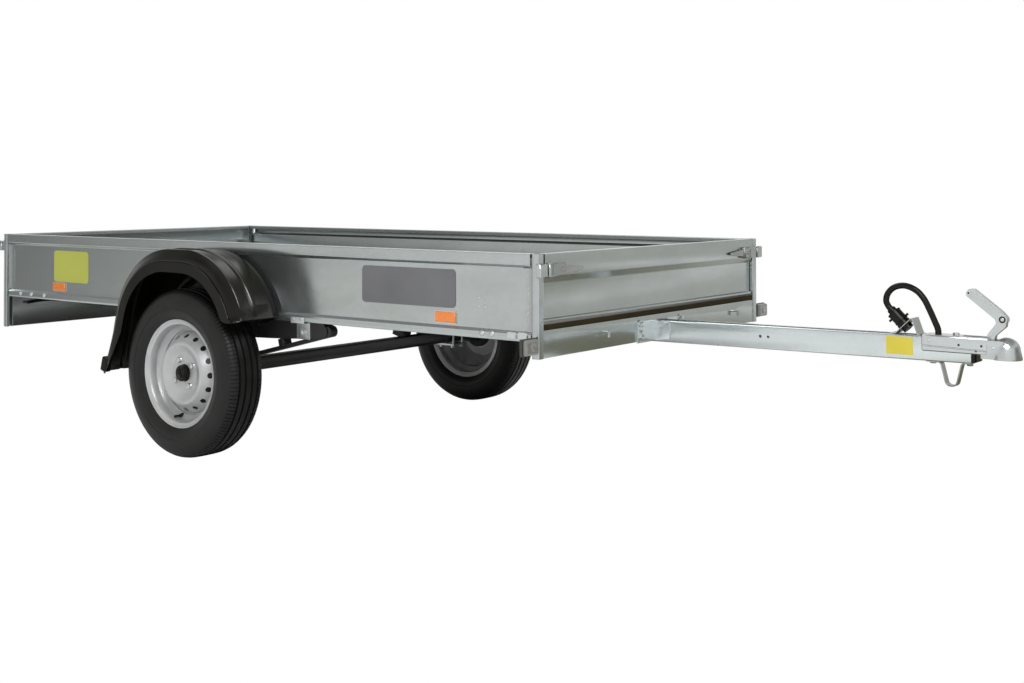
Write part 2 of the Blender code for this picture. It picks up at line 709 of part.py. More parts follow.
def build_drawbar_bracket():
    """The saddle that bolts the drawbar to the front crossmember."""
    inner = DRAWBAR_WIDTH / 2 + GAP
    face = BOX_FRONT - MEMBER_SET_BACK + GAP
    low = drawbar_bottom(BOX_FRONT) + 0.004
    high = drawbar_top(BOX_FRONT) + 0.002
    for name, side in SIDES.items():
        flange = mirrored_box(f"drawbar_bracket_{name}", (face, inner, low),
                              (face + BRACKET_SHEET, BRACKET_HALF_WIDTH, high), side, GALVANISED)
        outline = [(face, low), (face + BRACKET_CHEEK, low + 0.008), (face + BRACKET_CHEEK, high - 0.012),
                   (face, high)]
        y_values = sorted((side * inner, side * (inner + BRACKET_SHEET)))
        extras = [prism("cheek", outline, *y_values)]
        for z in (low + 0.020, high - 0.020):
            y = side * (BRACKET_HALF_WIDTH - BRACKET_BOLT_INSET)
            extras.append(cylinder("bolt", (face + BRACKET_SHEET / 2, y, z),
                                   (face + BRACKET_SHEET + 0.007, y, z), BRACKET_BOLT_RADIUS, sides=6))
        combine(flange, extras, "UNION")


def build_axle():
    """The straight axle beam with its two stub axles."""
    half = AXLE_SIZE / 2
    beam = box("axle_beam", (-half, -AXLE_BEAM_HALF, AXLE_Z - half),
               (half, AXLE_BEAM_HALF, AXLE_Z + half), BLACK_PAINT, bevel=0.003)
    stubs = []
    for side in SIDES.values():
        root = side * (AXLE_BEAM_HALF - STUB_RADIUS)
        stubs.append(cylinder("collar", (0, root, AXLE_Z), (0, side * (HUB_REAR - MOVING_GAP), AXLE_Z),
                              STUB_COLLAR_RADIUS, sides=20))
        stubs.append(cylinder("stub", (0, root, AXLE_Z), (0, side * DISC_BACK_Y, AXLE_Z), STUB_RADIUS,
                              sides=20))
    combine(beam, stubs, "UNION")


def leaf_height(x):
    """Underside of the spring pack: flat on the axle, then rising straight to the eyes."""
    seat = AXLE_Z + AXLE_SIZE / 2 + GAP
    slope = (EYE_Z - EYE_RADIUS - seat) / (math.hypot(EYE_X, LEAF_BEND) - LEAF_BEND)
    return seat + slope * (math.hypot(x, LEAF_BEND) - LEAF_BEND)


def build_springs():
    """Fish-bellied hanger rails with a leaf spring between their cheeks on each side."""
    top = SILL_BOTTOM - GAP
    half = RAIL_HALF_LENGTH
    nose = RAIL_NOSE
    belly = SILL_BOTTOM - RAIL_BELLY
    stations = [i / 6 for i in range(-6, 7)]
    for name, side in SIDES.items():
        under = [(half * s, belly + (EYE_Z - nose - belly) * s * s) for s in stations]
        front_nose = [(half + nose * math.sin(a), EYE_Z - nose * math.cos(a))
                      for a in (math.pi * k / 6 for k in range(1, 6))]
        rear_nose = [(-x, z) for x, z in reversed(front_nose)]
        outline = under + front_nose + [(half, top), (-half, top)] + rear_nose
        y_values = sorted((side * (SPRING_Y - RAIL_SECTION / 2), side * (SPRING_Y + RAIL_SECTION / 2)))
        rail = prism(f"spring_rail_{name}", outline, *y_values, "Y", BLACK_PAINT)
        inner = RAIL_SECTION / 2 - RAIL_WALL
        slot = mirrored_box("slot", (-2 * half, SPRING_Y - inner, 0),
                            (2 * half, SPRING_Y + inner, top - RAIL_WALL), side)
        combine(rail, [slot], "DIFFERENCE")
        build_leaf_spring(name, side)
        for end, sign in ENDS.items():
            build_hanger(name, side, end, sign)


def build_leaf_spring(name, side):
    """A two-leaf spring with rolled eyes, on the axle beam."""
    reach = EYE_X
    stations = [reach * i / 10 for i in range(-10, 11)]
    lower = [(x, leaf_height(x)) for x in stations]
    upper = [(x, leaf_height(x) + LEAF_THICKNESS) for x in reversed(stations)]
    y_values = sorted((side * (SPRING_Y - LEAF_WIDTH / 2), side * (SPRING_Y + LEAF_WIDTH / 2)))
    spring = prism(f"leaf_spring_{name}", lower + upper, *y_values, "Y", BLACK_PAINT)
    eyes = [cylinder("eye", (sign * EYE_X, y_values[0], EYE_Z), (sign * EYE_X, y_values[1], EYE_Z),
                     EYE_RADIUS, sides=18) for sign in ENDS.values()]
    combine(spring, eyes, "UNION")


def build_hanger(name, side, end, sign):
    """A galvanised plate that ties the spring rail to the sill."""
    face = SPRING_Y + RAIL_SECTION / 2 + GAP
    sill_face = HALF_WIDTH - SILL_RECESS + GAP
    top = SILL_BOTTOM - GAP
    x = sign * (RAIL_HALF_LENGTH - HANGER_SETBACK)
    wide = HANGER_WIDTH / 2
    lug = mirrored_box(f"hanger_{end}_{name}", (x - wide, face, SILL_BOTTOM - HANGER_DROP),
                       (x + wide, face + HANGER_SHEET, top), side, GALVANISED)
    shelf = mirrored_box("shelf", (x - wide, face, top - HANGER_SHEET),
                         (x + wide, sill_face + HANGER_SHEET, top), side)
    plate = mirrored_box("plate", (x - wide, sill_face, top - HANGER_SHEET),
                         (x + wide, sill_face + HANGER_SHEET, SILL_BOTTOM + HANGER_RISE), side)
    bolt_z = SILL_BOTTOM - HANGER_BOLT_DROP
    bolt = cylinder("bolt", (x, side * (face + HANGER_SHEET / 2), bolt_z),
                    (x, side * (face + HANGER_SHEET + 0.006), bolt_z), HANGER_BOLT_RADIUS, sides=6)
    combine(lug, [shelf, plate, bolt], "UNION")


def build_wheels():
    """Wheels: a tyre, a vented steel rim and a capped hub on each stub axle."""
    for name, side in SIDES.items():
        joint = new_empty(f"wheel_joint_{name}", (0, 0, AXLE_Z), FRAME)
        joint.rotation_euler = (0, -parking_pitch(), 0)
        turned(f"tyre_{name}", tyre_profile(), side, RUBBER, joint)
        rim = turned(f"wheel_rim_{name}", rim_profile(), side, RIM_PAINT, joint, steps=RIM_STEPS)
        combine(rim, [vent_punches(side, joint)], "DIFFERENCE")
        combine(rim, wheel_bolts(side, joint), "UNION")
        turned(f"wheel_hub_{name}", hub_profile(), side, BLACK_PLASTIC, joint, closed=False, steps=HUB_STEPS)


def rim_profile():
    """Section of rim and disc, as one closed outline from the outer flange round."""
    out, back = RIM_OUTER_Y, RIM_OUTER_Y - RIM_WIDTH
    flange, seat, well = RIM_FLANGE_RADIUS, RIM_SEAT_RADIUS, RIM_WELL_RADIUS
    sheet, lip, reach = RIM_SHEET, RIM_FLANGE_LIP, RIM_SEAT_REACH
    barrel = [(flange, out), (flange, out - lip), (seat, out - 3 * lip), (seat, out - reach),
              (well, out - RIM_WELL_START), (well, out - RIM_WELL_END), (seat, back + reach),
              (seat, back + 3 * lip), (flange, back + lip), (flange, back)]
    inner_back = [(seat - sheet, back + 1.6 * lip), (seat - sheet, back + reach - sheet / 2),
                  (well - sheet, out - RIM_WELL_END - sheet / 2)]
    disc_back = [(well - sheet, WELD_Y - 1.55 * sheet), (CROWN_RADIUS - sheet, CROWN_Y - 1.2 * sheet),
                 (CROWN_RADIUS - sheet - DISC_CROWN_WIDTH, CROWN_Y - 1.2 * sheet),
                 (DISC_PLATE_RADIUS + sheet, DISC_BACK_Y), (DISC_BORE, DISC_BACK_Y)]
    disc_front = [(DISC_BORE, DISC_Y), (DISC_PLATE_RADIUS, DISC_Y),
                  (CROWN_RADIUS - 1.6 * DISC_CROWN_WIDTH, CROWN_Y - sheet),
                  (CROWN_RADIUS - DISC_CROWN_WIDTH, CROWN_Y), (CROWN_RADIUS, CROWN_Y - sheet / 4),
                  (well - sheet, WELD_Y)]
    inner_front = [(well - sheet, out - RIM_WELL_START), (seat - sheet, out - reach),
                   (seat - sheet, out - 2 * lip)]
    return barrel + inner_back + disc_back + disc_front + inner_front


def vent_punches(side, joint):
    """Round punches square to the disc's outer slope, for its ring of vents."""
    run = DISC_SLOPE_RUN
    fall = CROWN_Y - RIM_SHEET / 4 - WELD_Y
    ring = CROWN_RADIUS + run / 2
    face_y = WELD_Y + fall / 2
    bm = bmesh.new()
    for k in range(VENTS):
        angle = 2 * math.pi * k / VENTS
        outward = Vector((math.cos(angle), 0, math.sin(angle)))
        square = (outward * fall + Vector((0, side * run, 0))).normalized()
        middle = Vector((0, side * face_y, AXLE_Z)) + outward * ring
        bmesh.ops.create_cone(bm, cap_ends=True, segments=8, radius1=VENT_RADIUS, radius2=VENT_RADIUS,
                              depth=4 * RIM_SHEET, matrix=Matrix.Translation(middle)
                              @ square.to_track_quat("Z", "Y").to_matrix().to_4x4())
    return from_bmesh("vent_punches", bm, None, joint)


def wheel_bolts(side, joint):
    """The hexagon heads that hold the disc's plate to the hub."""
    bolts = []
    for k in range(WHEEL_BOLTS):
        angle = math.pi * (0.18 + 2 * k / WHEEL_BOLTS)
        x, z = WHEEL_BOLT_RING * math.cos(angle), AXLE_Z + WHEEL_BOLT_RING * math.sin(angle)
        bolts.append(cylinder("wheel_bolt", (x, side * (DISC_Y - RIM_SHEET / 2), z),
                              (x, side * (DISC_Y + WHEEL_BOLT_HEAD), z), WHEEL_BOLT_RADIUS,
                              parent=joint, sides=6))
    return bolts


def round_clearance(radius):
    """Radius of a faceted tyre bore that clears a round seat."""
    return radius / math.cos(math.pi / WHEEL_STEPS) + GAP


def tyre_profile():
    """Section of the tyre as a shell that seats on the rim."""
    half, bead, lip = TYRE_WIDTH / 2, RIM_WIDTH / 2, RIM_FLANGE_LIP
    seat = round_clearance(RIM_SEAT_RADIUS)
    heel = round_clearance(RIM_FLANGE_RADIUS)
    crown = TYRE_RADIUS
    flank = crown - heel
    outer = [(crown, -0.70 * half), (crown - 0.04 * flank, -0.83 * half), (crown - 0.16 * flank, -0.93 * half),
             (crown - 0.45 * flank, -half), (crown - 0.70 * flank, -0.985 * half), (heel, -bead - 2 * GAP),
             (heel, -bead + lip + 2 * GAP), (seat, -bead + 3 * lip + 2 * GAP),
             (seat, -bead + RIM_SEAT_REACH)]
    wall = [(crown - 0.55 * flank, -half + TYRE_WALL), (crown - TYRE_WALL, -0.60 * half)]
    near = outer + wall
    far = [(radius, -y) for radius, y in reversed(near)]
    return [(radius, WHEEL_Y + y) for radius, y in near + far]


def hub_profile():
    """Section of the hub: flange behind the disc, spigot through it and a domed cap."""
    bore = STUB_RADIUS + STUB_CLEARANCE
    behind = DISC_BACK_Y - GAP
    spigot = DISC_BORE - GAP * 3
    cap = spigot - GAP
    top = DISC_Y + HUB_CAP_HEIGHT
    closed_end = DISC_Y + STUB_CLEARANCE
    return [(0, top), (0.65 * cap, top - GAP), (cap - 0.002, top - 0.004), (cap, top - 0.010),
            (spigot, DISC_Y), (spigot, behind), (HUB_FLANGE_RADIUS, behind),
            (HUB_FLANGE_RADIUS, behind - HUB_FLANGE_SHEET), (HUB_BARREL_RADIUS, behind - 2 * HUB_FLANGE_SHEET),
            (HUB_BARREL_RADIUS - 0.002, HUB_REAR), (bore, HUB_REAR), (bore, closed_end), (0, closed_end)]


def guard_path():
    """Side view of a mudguard's crown, from its rear tip over the wheel to its front tip."""
    rear_corner = Vector((GUARD_REAR_CORNER_INSET - TYRE_RADIUS, GUARD_TOP))
    rear_tip = Vector((-TYRE_RADIUS - GUARD_REAR_TIP_REACH, AXLE_Z - GUARD_REAR_TIP_DROP))
    front_corner = Vector((TYRE_RADIUS - GUARD_FRONT_CORNER_INSET, GUARD_TOP))
    front_tip = Vector((TYRE_RADIUS + GUARD_FRONT_TIP_REACH, AXLE_Z + GUARD_FRONT_TIP_RISE))
    past_rear, past_front = [corner + GUARD_LEG_STRETCH * (tip - corner) for corner, tip in
                             ((rear_corner, rear_tip), (front_corner, front_tip))]
    arch = rounded([past_rear, rear_corner, front_corner, past_front], GUARD_RADIUS, GUARD_STEPS)
    path = [rear_tip, *arch[1:-2]]
    down = (front_tip - path[-1]).normalized()
    return path + [front_tip - down * GUARD_SKIRT_CORNER * share for share in (1, 0.5, 0.2, 0)]


def guard_section(to_front_tip):
    """Section of a mudguard, as (distance out, depth): the skirt rounds off at the front tip."""
    outer = GUARD_OUTER_Y
    rib = outer - GUARD_RIB_INSET
    wide = GUARD_RIB_WIDTH / 2
    left_over = 1 - min(1, to_front_tip / GUARD_SKIRT_CORNER)
    hang = max(0.15, math.sqrt(1 - left_over ** 2))
    shoulder = GUARD_SHOULDER
    return [(GUARD_INNER_Y, GUARD_WALL), (GUARD_INNER_Y, GUARD_CHAMFER / 3),
            (GUARD_INNER_Y + GUARD_CHAMFER, 0), (rib - wide, 0), (rib, -GUARD_RIB_HEIGHT), (rib + wide, 0),
            (outer - shoulder, 0), (outer - 0.4 * shoulder, 0.4 * shoulder * hang),
            (outer - 0.08 * shoulder, 1.2 * shoulder * hang), (outer, GUARD_SKIRT * hang)]


def build_mudguards():
    """Moulded mudguards: one ribbed section, walled next to the box, carried round the arch."""
    path = guard_path()
    for name, side in SIDES.items():
        bm = bmesh.new()
        rows = []
        for i, point in enumerate(path):
            ahead = (path[min(i + 1, len(path) - 1)] - path[max(i - 1, 0)]).normalized()
            normal = Vector((ahead.y, -ahead.x))
            section = guard_section((point - path[-1]).length if i > len(path) / 2 else GUARD_SKIRT_CORNER)
            rows.append([bm.verts.new((point.x + normal.x * depth, side * y, point.y + normal.y * depth))
                         for y, depth in section])
        for first, second in zip(rows, rows[1:]):
            for j in range(len(first) - 1):
                bm.faces.new((first[j], first[j + 1], second[j + 1], second[j]))
        mesh = bpy.data.meshes.new(f"mudguard_{name}")
        bm.to_mesh(mesh)
        bm.free()
        obj = bpy.data.objects.new(f"mudguard_{name}", mesh)
        PARTS.objects.link(obj)
        paint(obj, BLACK_PLASTIC)
        solid = obj.modifiers.new("shell", "SOLIDIFY")
        solid.thickness = GUARD_SHEET
        solid.offset = side
        solid.use_even_offset = True
        attach(obj, FRAME)


def build_lamps():
    """Front marker lamps, rear lamps and side reflectors."""
    deep, wide, tall = MARKER_SIZE
    back = BOX_FRONT - LAMP_TAB_SETBACK + GAP
    marker_y, marker_z = HALF_WIDTH + MARKER_OUT, SILL_BOTTOM - MARKER_DROP
    rear_deep, rear_wide, rear_tall = REAR_LAMP_SIZE
    rear_face = BOX_REAR + MEMBER_SET_BACK - GAP
    rear_y = HALF_WIDTH - POST_FRONT - REAR_LAMP_INSET
    rear_z = SILL_BOTTOM - REAR_LAMP_DROP
    field = HALF_WIDTH - FIELD_RECESS + GAP
    long, thick, high = REFLECTOR_SIZE
    z = SILL_TOP + REFLECTOR_RISE
    for name, side in SIDES.items():
        mirrored_box(f"marker_lamp_{name}", (back, marker_y, marker_z - tall / 2),
                     (back + deep, marker_y + wide, marker_z + tall / 2), side, CLEAR, bevel=0.006)
        mirrored_box(f"rear_lamp_{name}", (rear_face - rear_deep, rear_y - rear_wide, rear_z - rear_tall / 2),
                     (rear_face, rear_y, rear_z + rear_tall / 2), side, RED, bevel=0.006)
        for end, inset in REFLECTOR_INSETS.items():
            x = end_x(end, inset)
            mirrored_box(f"reflector_{end}_{name}", (x - long / 2, field, z - high / 2),
                         (x + long / 2, field + thick, z + high / 2), side, AMBER, bevel=0.002)


def ball_form(name, radius, low, flare=0.0):
    """An upright turned form on the ball's centre: a dome over a round wall."""
    arc = [(radius * math.sin(a), BALL_Z + radius * math.cos(a))
           for a in (math.pi / 2 * k / 6 for k in range(7))]
    arc[0] = (0, arc[0][1])
    wall = [(radius + flare, low + 0.006), (radius + flare, low)] if flare else [(radius, low)]
    bm = bmesh.new()
    verts = [bm.verts.new((BALL_X + r, 0, z)) for r, z in [*arc, *wall, (0, low)]]
    edges = [bm.edges.new(pair) for pair in zip(verts, verts[1:])]
    bmesh.ops.spin(bm, geom=verts + edges, cent=(BALL_X, 0, 0), axis=(0, 0, 1), angle=2 * math.pi,
                   steps=COUPLING_STEPS, use_merge=True)
    bmesh.ops.remove_doubles(bm, verts=bm.verts, dist=0.00005)
    return from_bmesh(name, bm, None)


def build_coupling():
    """The pressed coupling head over the drawbar's end, open below for the ball."""
    half = DRAWBAR_WIDTH / 2 + GAP
    outer = half + COUPLING_SHEET
    neck = BALL_X - COUPLING_NECK
    skirt = BALL_Z - HEAD_SKIRT
    top = drawbar_top(neck) + COUPLING_SHEET
    shell = box("coupling_body", (COUPLING_REAR, -outer, drawbar_top(COUPLING_REAR) - COUPLING_SKIRT),
                (neck, outer, top), GALVANISED, bevel=0.004)
    neck_box = box("neck", (neck - 0.02, -outer + 0.0005, skirt + 0.001),
                   (BALL_X + 0.001, outer - 0.0005, BALL_Z + 0.027))
    head = ball_form("head", HEAD_RADIUS, skirt, HEAD_FLARE)
    combine(shell, [neck_box, head], "UNION")
    bar_end = DRAWBAR_FRONT + END_PLUG_LENGTH + 0.002
    below = skirt - 2 * COUPLING_SKIRT
    over = top + COUPLING_SKIRT
    ceiling = top - COUPLING_SHEET
    hollow = box("hollow", (COUPLING_REAR - COUPLING_SKIRT, -half, below), (bar_end, half, ceiling))
    throat = box("throat", (bar_end - 0.01, -half + 0.002, below + 0.01),
                 (BALL_X, half - 0.002, BALL_Z + 0.018))
    socket = ball_form("socket", BALL_RADIUS + BALL_CLEARANCE, below + 0.02)
    slot_half = LEVER_WIDTH / 2 + 0.003
    slot = box("slot", (LEVER_PIVOT_X - 0.074, -slot_half, LEVER_PIVOT_Z - 0.026),
               (LEVER_PIVOT_X + 0.024, slot_half, over))
    entry_x = COUPLING_REAR + LEAD_ENTRY
    entry = cylinder("entry", (entry_x, 0, skirt), (entry_x, 0, over), LEAD_RADIUS + 4 * GAP, sides=16)
    combine(shell, [hollow, throat, socket, slot, entry], "DIFFERENCE")
    pin_half = half + COUPLING_SHEET / 3
    pin = cylinder("pin", (LEVER_PIVOT_X, -pin_half, LEVER_PIVOT_Z), (LEVER_PIVOT_X, pin_half,
                   LEVER_PIVOT_Z), LEVER_PIN_RADIUS, sides=12)
    bolt_x = DRAWBAR_FRONT - 0.051
    bolt = cylinder("bolt", (bolt_x, 0, top - 0.001), (bolt_x, 0, top + 0.007), 0.009, sides=6)
    combine(shell, [pin, bolt], "UNION")


def build_lever():
    """The coupling's hand lever, raised, on its pivot pin."""
    joint = new_empty("lever_joint", (LEVER_PIVOT_X, 0, LEVER_PIVOT_Z), FRAME)
    shape = [(-0.009, -0.006), (0.011, -0.006), (0.016, 0.029), (0.044, 0.054), (0.048, 0.080),
             (0.036, 0.094), (-0.042, 0.154), (-0.056, 0.153), (-0.065, 0.136), (0.016, 0.073),
             (0.018, 0.062), (-0.005, 0.032)]
    outline = rounded([(LEVER_PIVOT_X + u, LEVER_PIVOT_Z + v) for u, v in shape], LEVER_FILLET, 2, closed=True)
    half = LEVER_WIDTH / 2
    lever = prism("coupling_lever", outline, -half, half, "Y", GALVANISED, joint)
    bore = cylinder("bore", (LEVER_PIVOT_X, -LEVER_WIDTH, LEVER_PIVOT_Z), (LEVER_PIVOT_X, LEVER_WIDTH,
                    LEVER_PIVOT_Z), LEVER_PIN_RADIUS + LEVER_PIN_CLEARANCE, sides=16)
    combine(lever, [bore], "DIFFERENCE")


def foot_arc():
    """Centre and outer radius of the bend that the parked foot loop stands on."""
    bend = FOOT_RADIUS - FOOT_STRAP
    lean = math.atan2(FOOT_SPREAD - bend, FOOT_DEPTH - FOOT_STRAP)
    reach = bend * math.tan((math.pi / 2 - lean) / 2)
    low = drawbar_bottom(FOOT_X) - FOOT_DEPTH
    return FOOT_X + bend - reach, low + FOOT_RADIUS, FOOT_RADIUS


def build_foot():
    """The strap loop under the drawbar that the parked trailer stands on."""
    x, bend = FOOT_X, FOOT_RADIUS - FOOT_STRAP
    low = drawbar_bottom(x) - FOOT_DEPTH + FOOT_STRAP
    front, rear = x + FOOT_SPREAD, x - FOOT_SPREAD - FOOT_TAB
    front_z, rear_z = drawbar_bottom(front) - GAP, drawbar_bottom(rear) - GAP
    section = [(front + FOOT_TAB * 0.65, front_z), (front, front_z), (x + bend, low), (x - bend, low),
               (x - FOOT_SPREAD, rear_z), (rear, rear_z)]
    prism("foot_loop", sheet_outline(section, FOOT_STRAP, bend, 6), -FOOT_WIDTH / 2, FOOT_WIDTH / 2, "Y",
          GALVANISED)


def build_end_plug():
    """The black plug in the drawbar's open end."""
    half = DRAWBAR_WIDTH / 2 - 0.001
    low = drawbar_bottom(DRAWBAR_FRONT) + 0.002
    box("drawbar_end_plug", (DRAWBAR_FRONT + GAP, -half, low),
        (DRAWBAR_FRONT + END_PLUG_LENGTH, half, low + END_PLUG_HEIGHT), BLACK_PLASTIC, bevel=0.003)


def plug_axis():
    """Middle of the holder's sloping face and the direction into the holder."""
    base = drawbar_top(PLUG_HOLDER_X) + GAP
    middle = Vector((PLUG_HOLDER_X + PLUG_HOLDER_RISE / 2, 0, base + PLUG_HOLDER_RISE / 2))
    return middle, Vector((1, 0, -1)).normalized()


def build_plug_parking():
    """The bent holder on the drawbar, the parked plug and its lead into the drawbar."""
    base = drawbar_top(PLUG_HOLDER_X + 0.1) + GAP
    peak = base + PLUG_HOLDER_RISE
    x = PLUG_HOLDER_X
    seat = base + PLUG_HOLDER_SHEET
    top = x + PLUG_HOLDER_RISE
    heel = top + PLUG_HOLDER_RAMP
    section = [(heel + 0.008, seat), (heel, seat), (top + 0.004, peak), (top, peak), (x, seat),
               (x - PLUG_HOLDER_FOOT, seat)]
    half = DRAWBAR_WIDTH / 2 - 0.004
    holder = prism("plug_holder", sheet_outline(section, PLUG_HOLDER_SHEET), -half, half, "Y", GALVANISED)
    middle, into = plug_axis()
    hole = cylinder("hole", middle - into * 0.02, middle + into * 0.02, PLUG_RADIUS + 0.001, sides=20)
    combine(holder, [hole], "DIFFERENCE")
    face = PLUG_HOLDER_SHEET + GAP
    rear = PLUG_LENGTH
    body = cylinder("plug", middle + into * 0.012, middle - into * rear, PLUG_RADIUS, BLACK_PLASTIC,
                    sides=20)
    collar = cylinder("collar", middle - into * face, middle - into * (face + 0.010),
                      PLUG_RADIUS + PLUG_COLLAR, sides=20)
    gland = cylinder("gland", middle - into * (rear - 0.001), middle - into * (rear + PLUG_GLAND),
                     PLUG_GLAND_RADIUS, sides=12)
    combine(body, [collar, gland], "UNION")
    start = middle - into * (rear + PLUG_GLAND + GAP)
    entry = Vector((COUPLING_REAR + LEAD_ENTRY, 0, drawbar_top(COUPLING_REAR)))
    arch = [(-0.151, 0.090), (-0.145, 0.112), (-0.125, 0.130), (-0.094, 0.135), (-0.062, 0.123),
            (-0.040, 0.100), (-0.025, 0.072), (-0.012, 0.044), (-0.002, 0.021), (0, 0.008), (0, -0.014)]
    route = [start - into * 0.008, *[entry + Vector((u, 0, v)) for u, v in arch]]
    tube("plug_lead", [start, *smooth_path(route, 0.03)], LEAD_RADIUS, BLACK_PLASTIC)


def build_gate(end):
    """A folding gate: folded sheet, end plates, hinge pins and two latches."""
    joint = new_empty(f"gate_joint_{end}", (end_x(end, PIVOT_RECESS), 0, PIVOT_Z), FRAME)
    band_bottom = BOX_TOP - BAND_HEIGHT
    lip_top = GATE_BOTTOM + GATE_LIP_HEIGHT
    section = [(GATE_DEPTH, BOX_TOP - RAIL_LIP), (GATE_DEPTH, BOX_TOP), (0, BOX_TOP), (0, band_bottom),
               (GATE_RECESS, band_bottom - BAND_FACET), (GATE_RECESS, lip_top + 0.003),
               (GATE_LIP_RECESS, lip_top), (GATE_LIP_RECESS, GATE_BOTTOM),
               (GATE_DEPTH - 0.004, GATE_BOTTOM)]
    placed = [(end_x(end, u), z) for u, z in sheet_outline(section, SHEET)]
    half = GATE_HALF
    gate = prism(f"{end}_gate", placed, -half, half, "Y", GALVANISED, joint)
    extras = []
    pin_x = end_x(end, PIVOT_RECESS)
    plate_outline = [(end_x(end, u), z) for u, z in
                     ((0.0004, BOX_TOP - 0.0004), (GATE_DEPTH - 0.0004, BOX_TOP - 0.0004),
                      (GATE_DEPTH - 0.0044, GATE_BOTTOM + 0.0004),
                      (GATE_LIP_RECESS + 0.0004, GATE_BOTTOM + 0.0004),
                      (GATE_LIP_RECESS + 0.0004, lip_top), (GATE_RECESS + 0.0004, lip_top + 0.0032),
                      (GATE_RECESS + 0.0004, band_bottom - BAND_FACET), (0.0004, band_bottom))]
    for side in SIDES.values():
        y_values = sorted((side * (half - 0.0004), side * (half - 0.0004 - SHEET)))
        extras.append(prism("end_plate", plate_outline, *y_values))
        extras.append(cylinder("pin", (pin_x, side * (half - 0.001), PIVOT_Z),
                               (pin_x, side * (half + GATE_PIN_REACH), PIVOT_Z), GATE_PIN_RADIUS, sides=10))
    combine(gate, extras, "UNION")
    for name, side in SIDES.items():
        build_latch(end, name, side, joint)


def build_latch(end, name, side, joint):
    """A latch case on the gate's top band, with its tapered grip."""
    low, high = LATCH_Z - LATCH_HEIGHT / 2, LATCH_Z + LATCH_HEIGHT / 2
    x_values = sorted((end_x(end, -GAP), end_x(end, -LATCH_DEPTH)))
    outer = GATE_HALF - 0.001
    case = mirrored_box(f"gate_latch_{end}_{name}", (x_values[0], outer - LATCH_LENGTH, low),
                        (x_values[1], outer, high), side, SATIN_STEEL, joint, bevel=0.004)
    grip_x = sorted((end_x(end, -LATCH_GRIP_SHEET), end_x(end, -2 * LATCH_GRIP_SHEET)))
    start = outer - LATCH_LENGTH
    bm = bmesh.new()
    outline = [(start + 0.01, low + 0.006), (start - LATCH_GRIP_LENGTH, LATCH_Z - 0.004),
               (start - LATCH_GRIP_LENGTH, LATCH_Z + 0.004), (start + 0.01, high - 0.006)]
    face = bm.faces.new([bm.verts.new((grip_x[0], side * y, z)) for y, z in outline])
    made = bmesh.ops.extrude_face_region(bm, geom=[face])["geom"]
    bmesh.ops.translate(bm, vec=(grip_x[1] - grip_x[0], 0, 0),
                        verts=[v for v in made if isinstance(v, bmesh.types.BMVert)])
    grip = from_bmesh("grip", bm, None)
    combine(case, [grip], "UNION")


def parking_pitch():
    """Nose-down angle at which the foot loop and both tyres meet the ground."""
    x, z, radius = foot_arc()
    rise = z - AXLE_Z
    return math.atan2(rise, x) + math.asin((AXLE_Z - radius) / math.hypot(x, rise))


def park():
    """Tip the frame about the axle and put the middle of the object's box at the origin."""
    turn = Matrix.Rotation(parking_pitch(), 4, "Y")
    about_axle = Matrix.Translation((0, 0, AXLE_Z)) @ turn @ Matrix.Translation((0, 0, -AXLE_Z))
    FRAME.matrix_world = about_axle
    bpy.context.view_layer.update()
    depsgraph = bpy.context.evaluated_depsgraph_get()
    along = []
    for obj in PARTS.objects:
        if obj.type in {"MESH", "CURVE"}:
            shown = obj.evaluated_get(depsgraph)
            mesh = shown.to_mesh()
            along += [(shown.matrix_world @ v.co).x for v in mesh.vertices]
            shown.to_mesh_clear()
    shift = -(min(along) + max(along)) / 2
    FRAME.matrix_world = Matrix.Translation((shift, 0, 0)) @ about_axle
    bpy.context.view_layer.update()


def build_trailer():
    """Build every piece, level, then park the trailer on its foot."""
    start_scene()
    build_floor()
    build_side_panels()
    for end in ENDS:
        for name, side in SIDES.items():
            build_post(end, name, side)
        build_gate(end)
    build_front_crossmember()
    build_rear_light_panel()
    build_floor_crossmembers()
    build_drawbar()
    build_drawbar_bracket()
    build_axle()
    build_springs()
    build_wheels()
    build_mudguards()
    build_lamps()
    build_coupling()
    build_lever()
    build_foot()
    build_end_plug()
    build_plug_parking()
    park()


build_trailer()
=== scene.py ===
"""Open single-axle car trailer with folding gates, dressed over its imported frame."""
import json
import math

import bmesh
import bpy
from mathutils import Matrix, Vector


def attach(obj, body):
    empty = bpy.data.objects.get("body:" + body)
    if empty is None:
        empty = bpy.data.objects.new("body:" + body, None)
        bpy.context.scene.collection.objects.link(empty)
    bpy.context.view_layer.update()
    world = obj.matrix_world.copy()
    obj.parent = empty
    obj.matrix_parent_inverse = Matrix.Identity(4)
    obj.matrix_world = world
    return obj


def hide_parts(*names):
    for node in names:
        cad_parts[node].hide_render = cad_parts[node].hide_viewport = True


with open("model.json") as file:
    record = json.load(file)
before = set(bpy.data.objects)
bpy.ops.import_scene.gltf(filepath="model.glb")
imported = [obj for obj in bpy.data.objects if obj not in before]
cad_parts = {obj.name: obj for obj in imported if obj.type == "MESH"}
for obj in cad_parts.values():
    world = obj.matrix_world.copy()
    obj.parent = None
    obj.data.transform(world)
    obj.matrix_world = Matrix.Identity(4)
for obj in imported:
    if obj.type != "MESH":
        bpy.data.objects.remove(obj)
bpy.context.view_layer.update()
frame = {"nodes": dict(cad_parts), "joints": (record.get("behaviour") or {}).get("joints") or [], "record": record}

# Viewpoint. The trailer is drawn level, with the ground under the axle as origin, and PARKED tips
# it nose down about the axle onto its foot. The camera stands off the right front corner, a little
# above the rail, and is tipped with the trailer.
axle_joint = next(j for j in frame["joints"] if j["name"] == "wheel_left_spin")
deck_mount = next(m for m in frame["record"]["mounts"] if m["name"] == "load_floor")
AXLE = Vector((axle_joint["pos_m"][0], 0, axle_joint["pos_m"][2]))
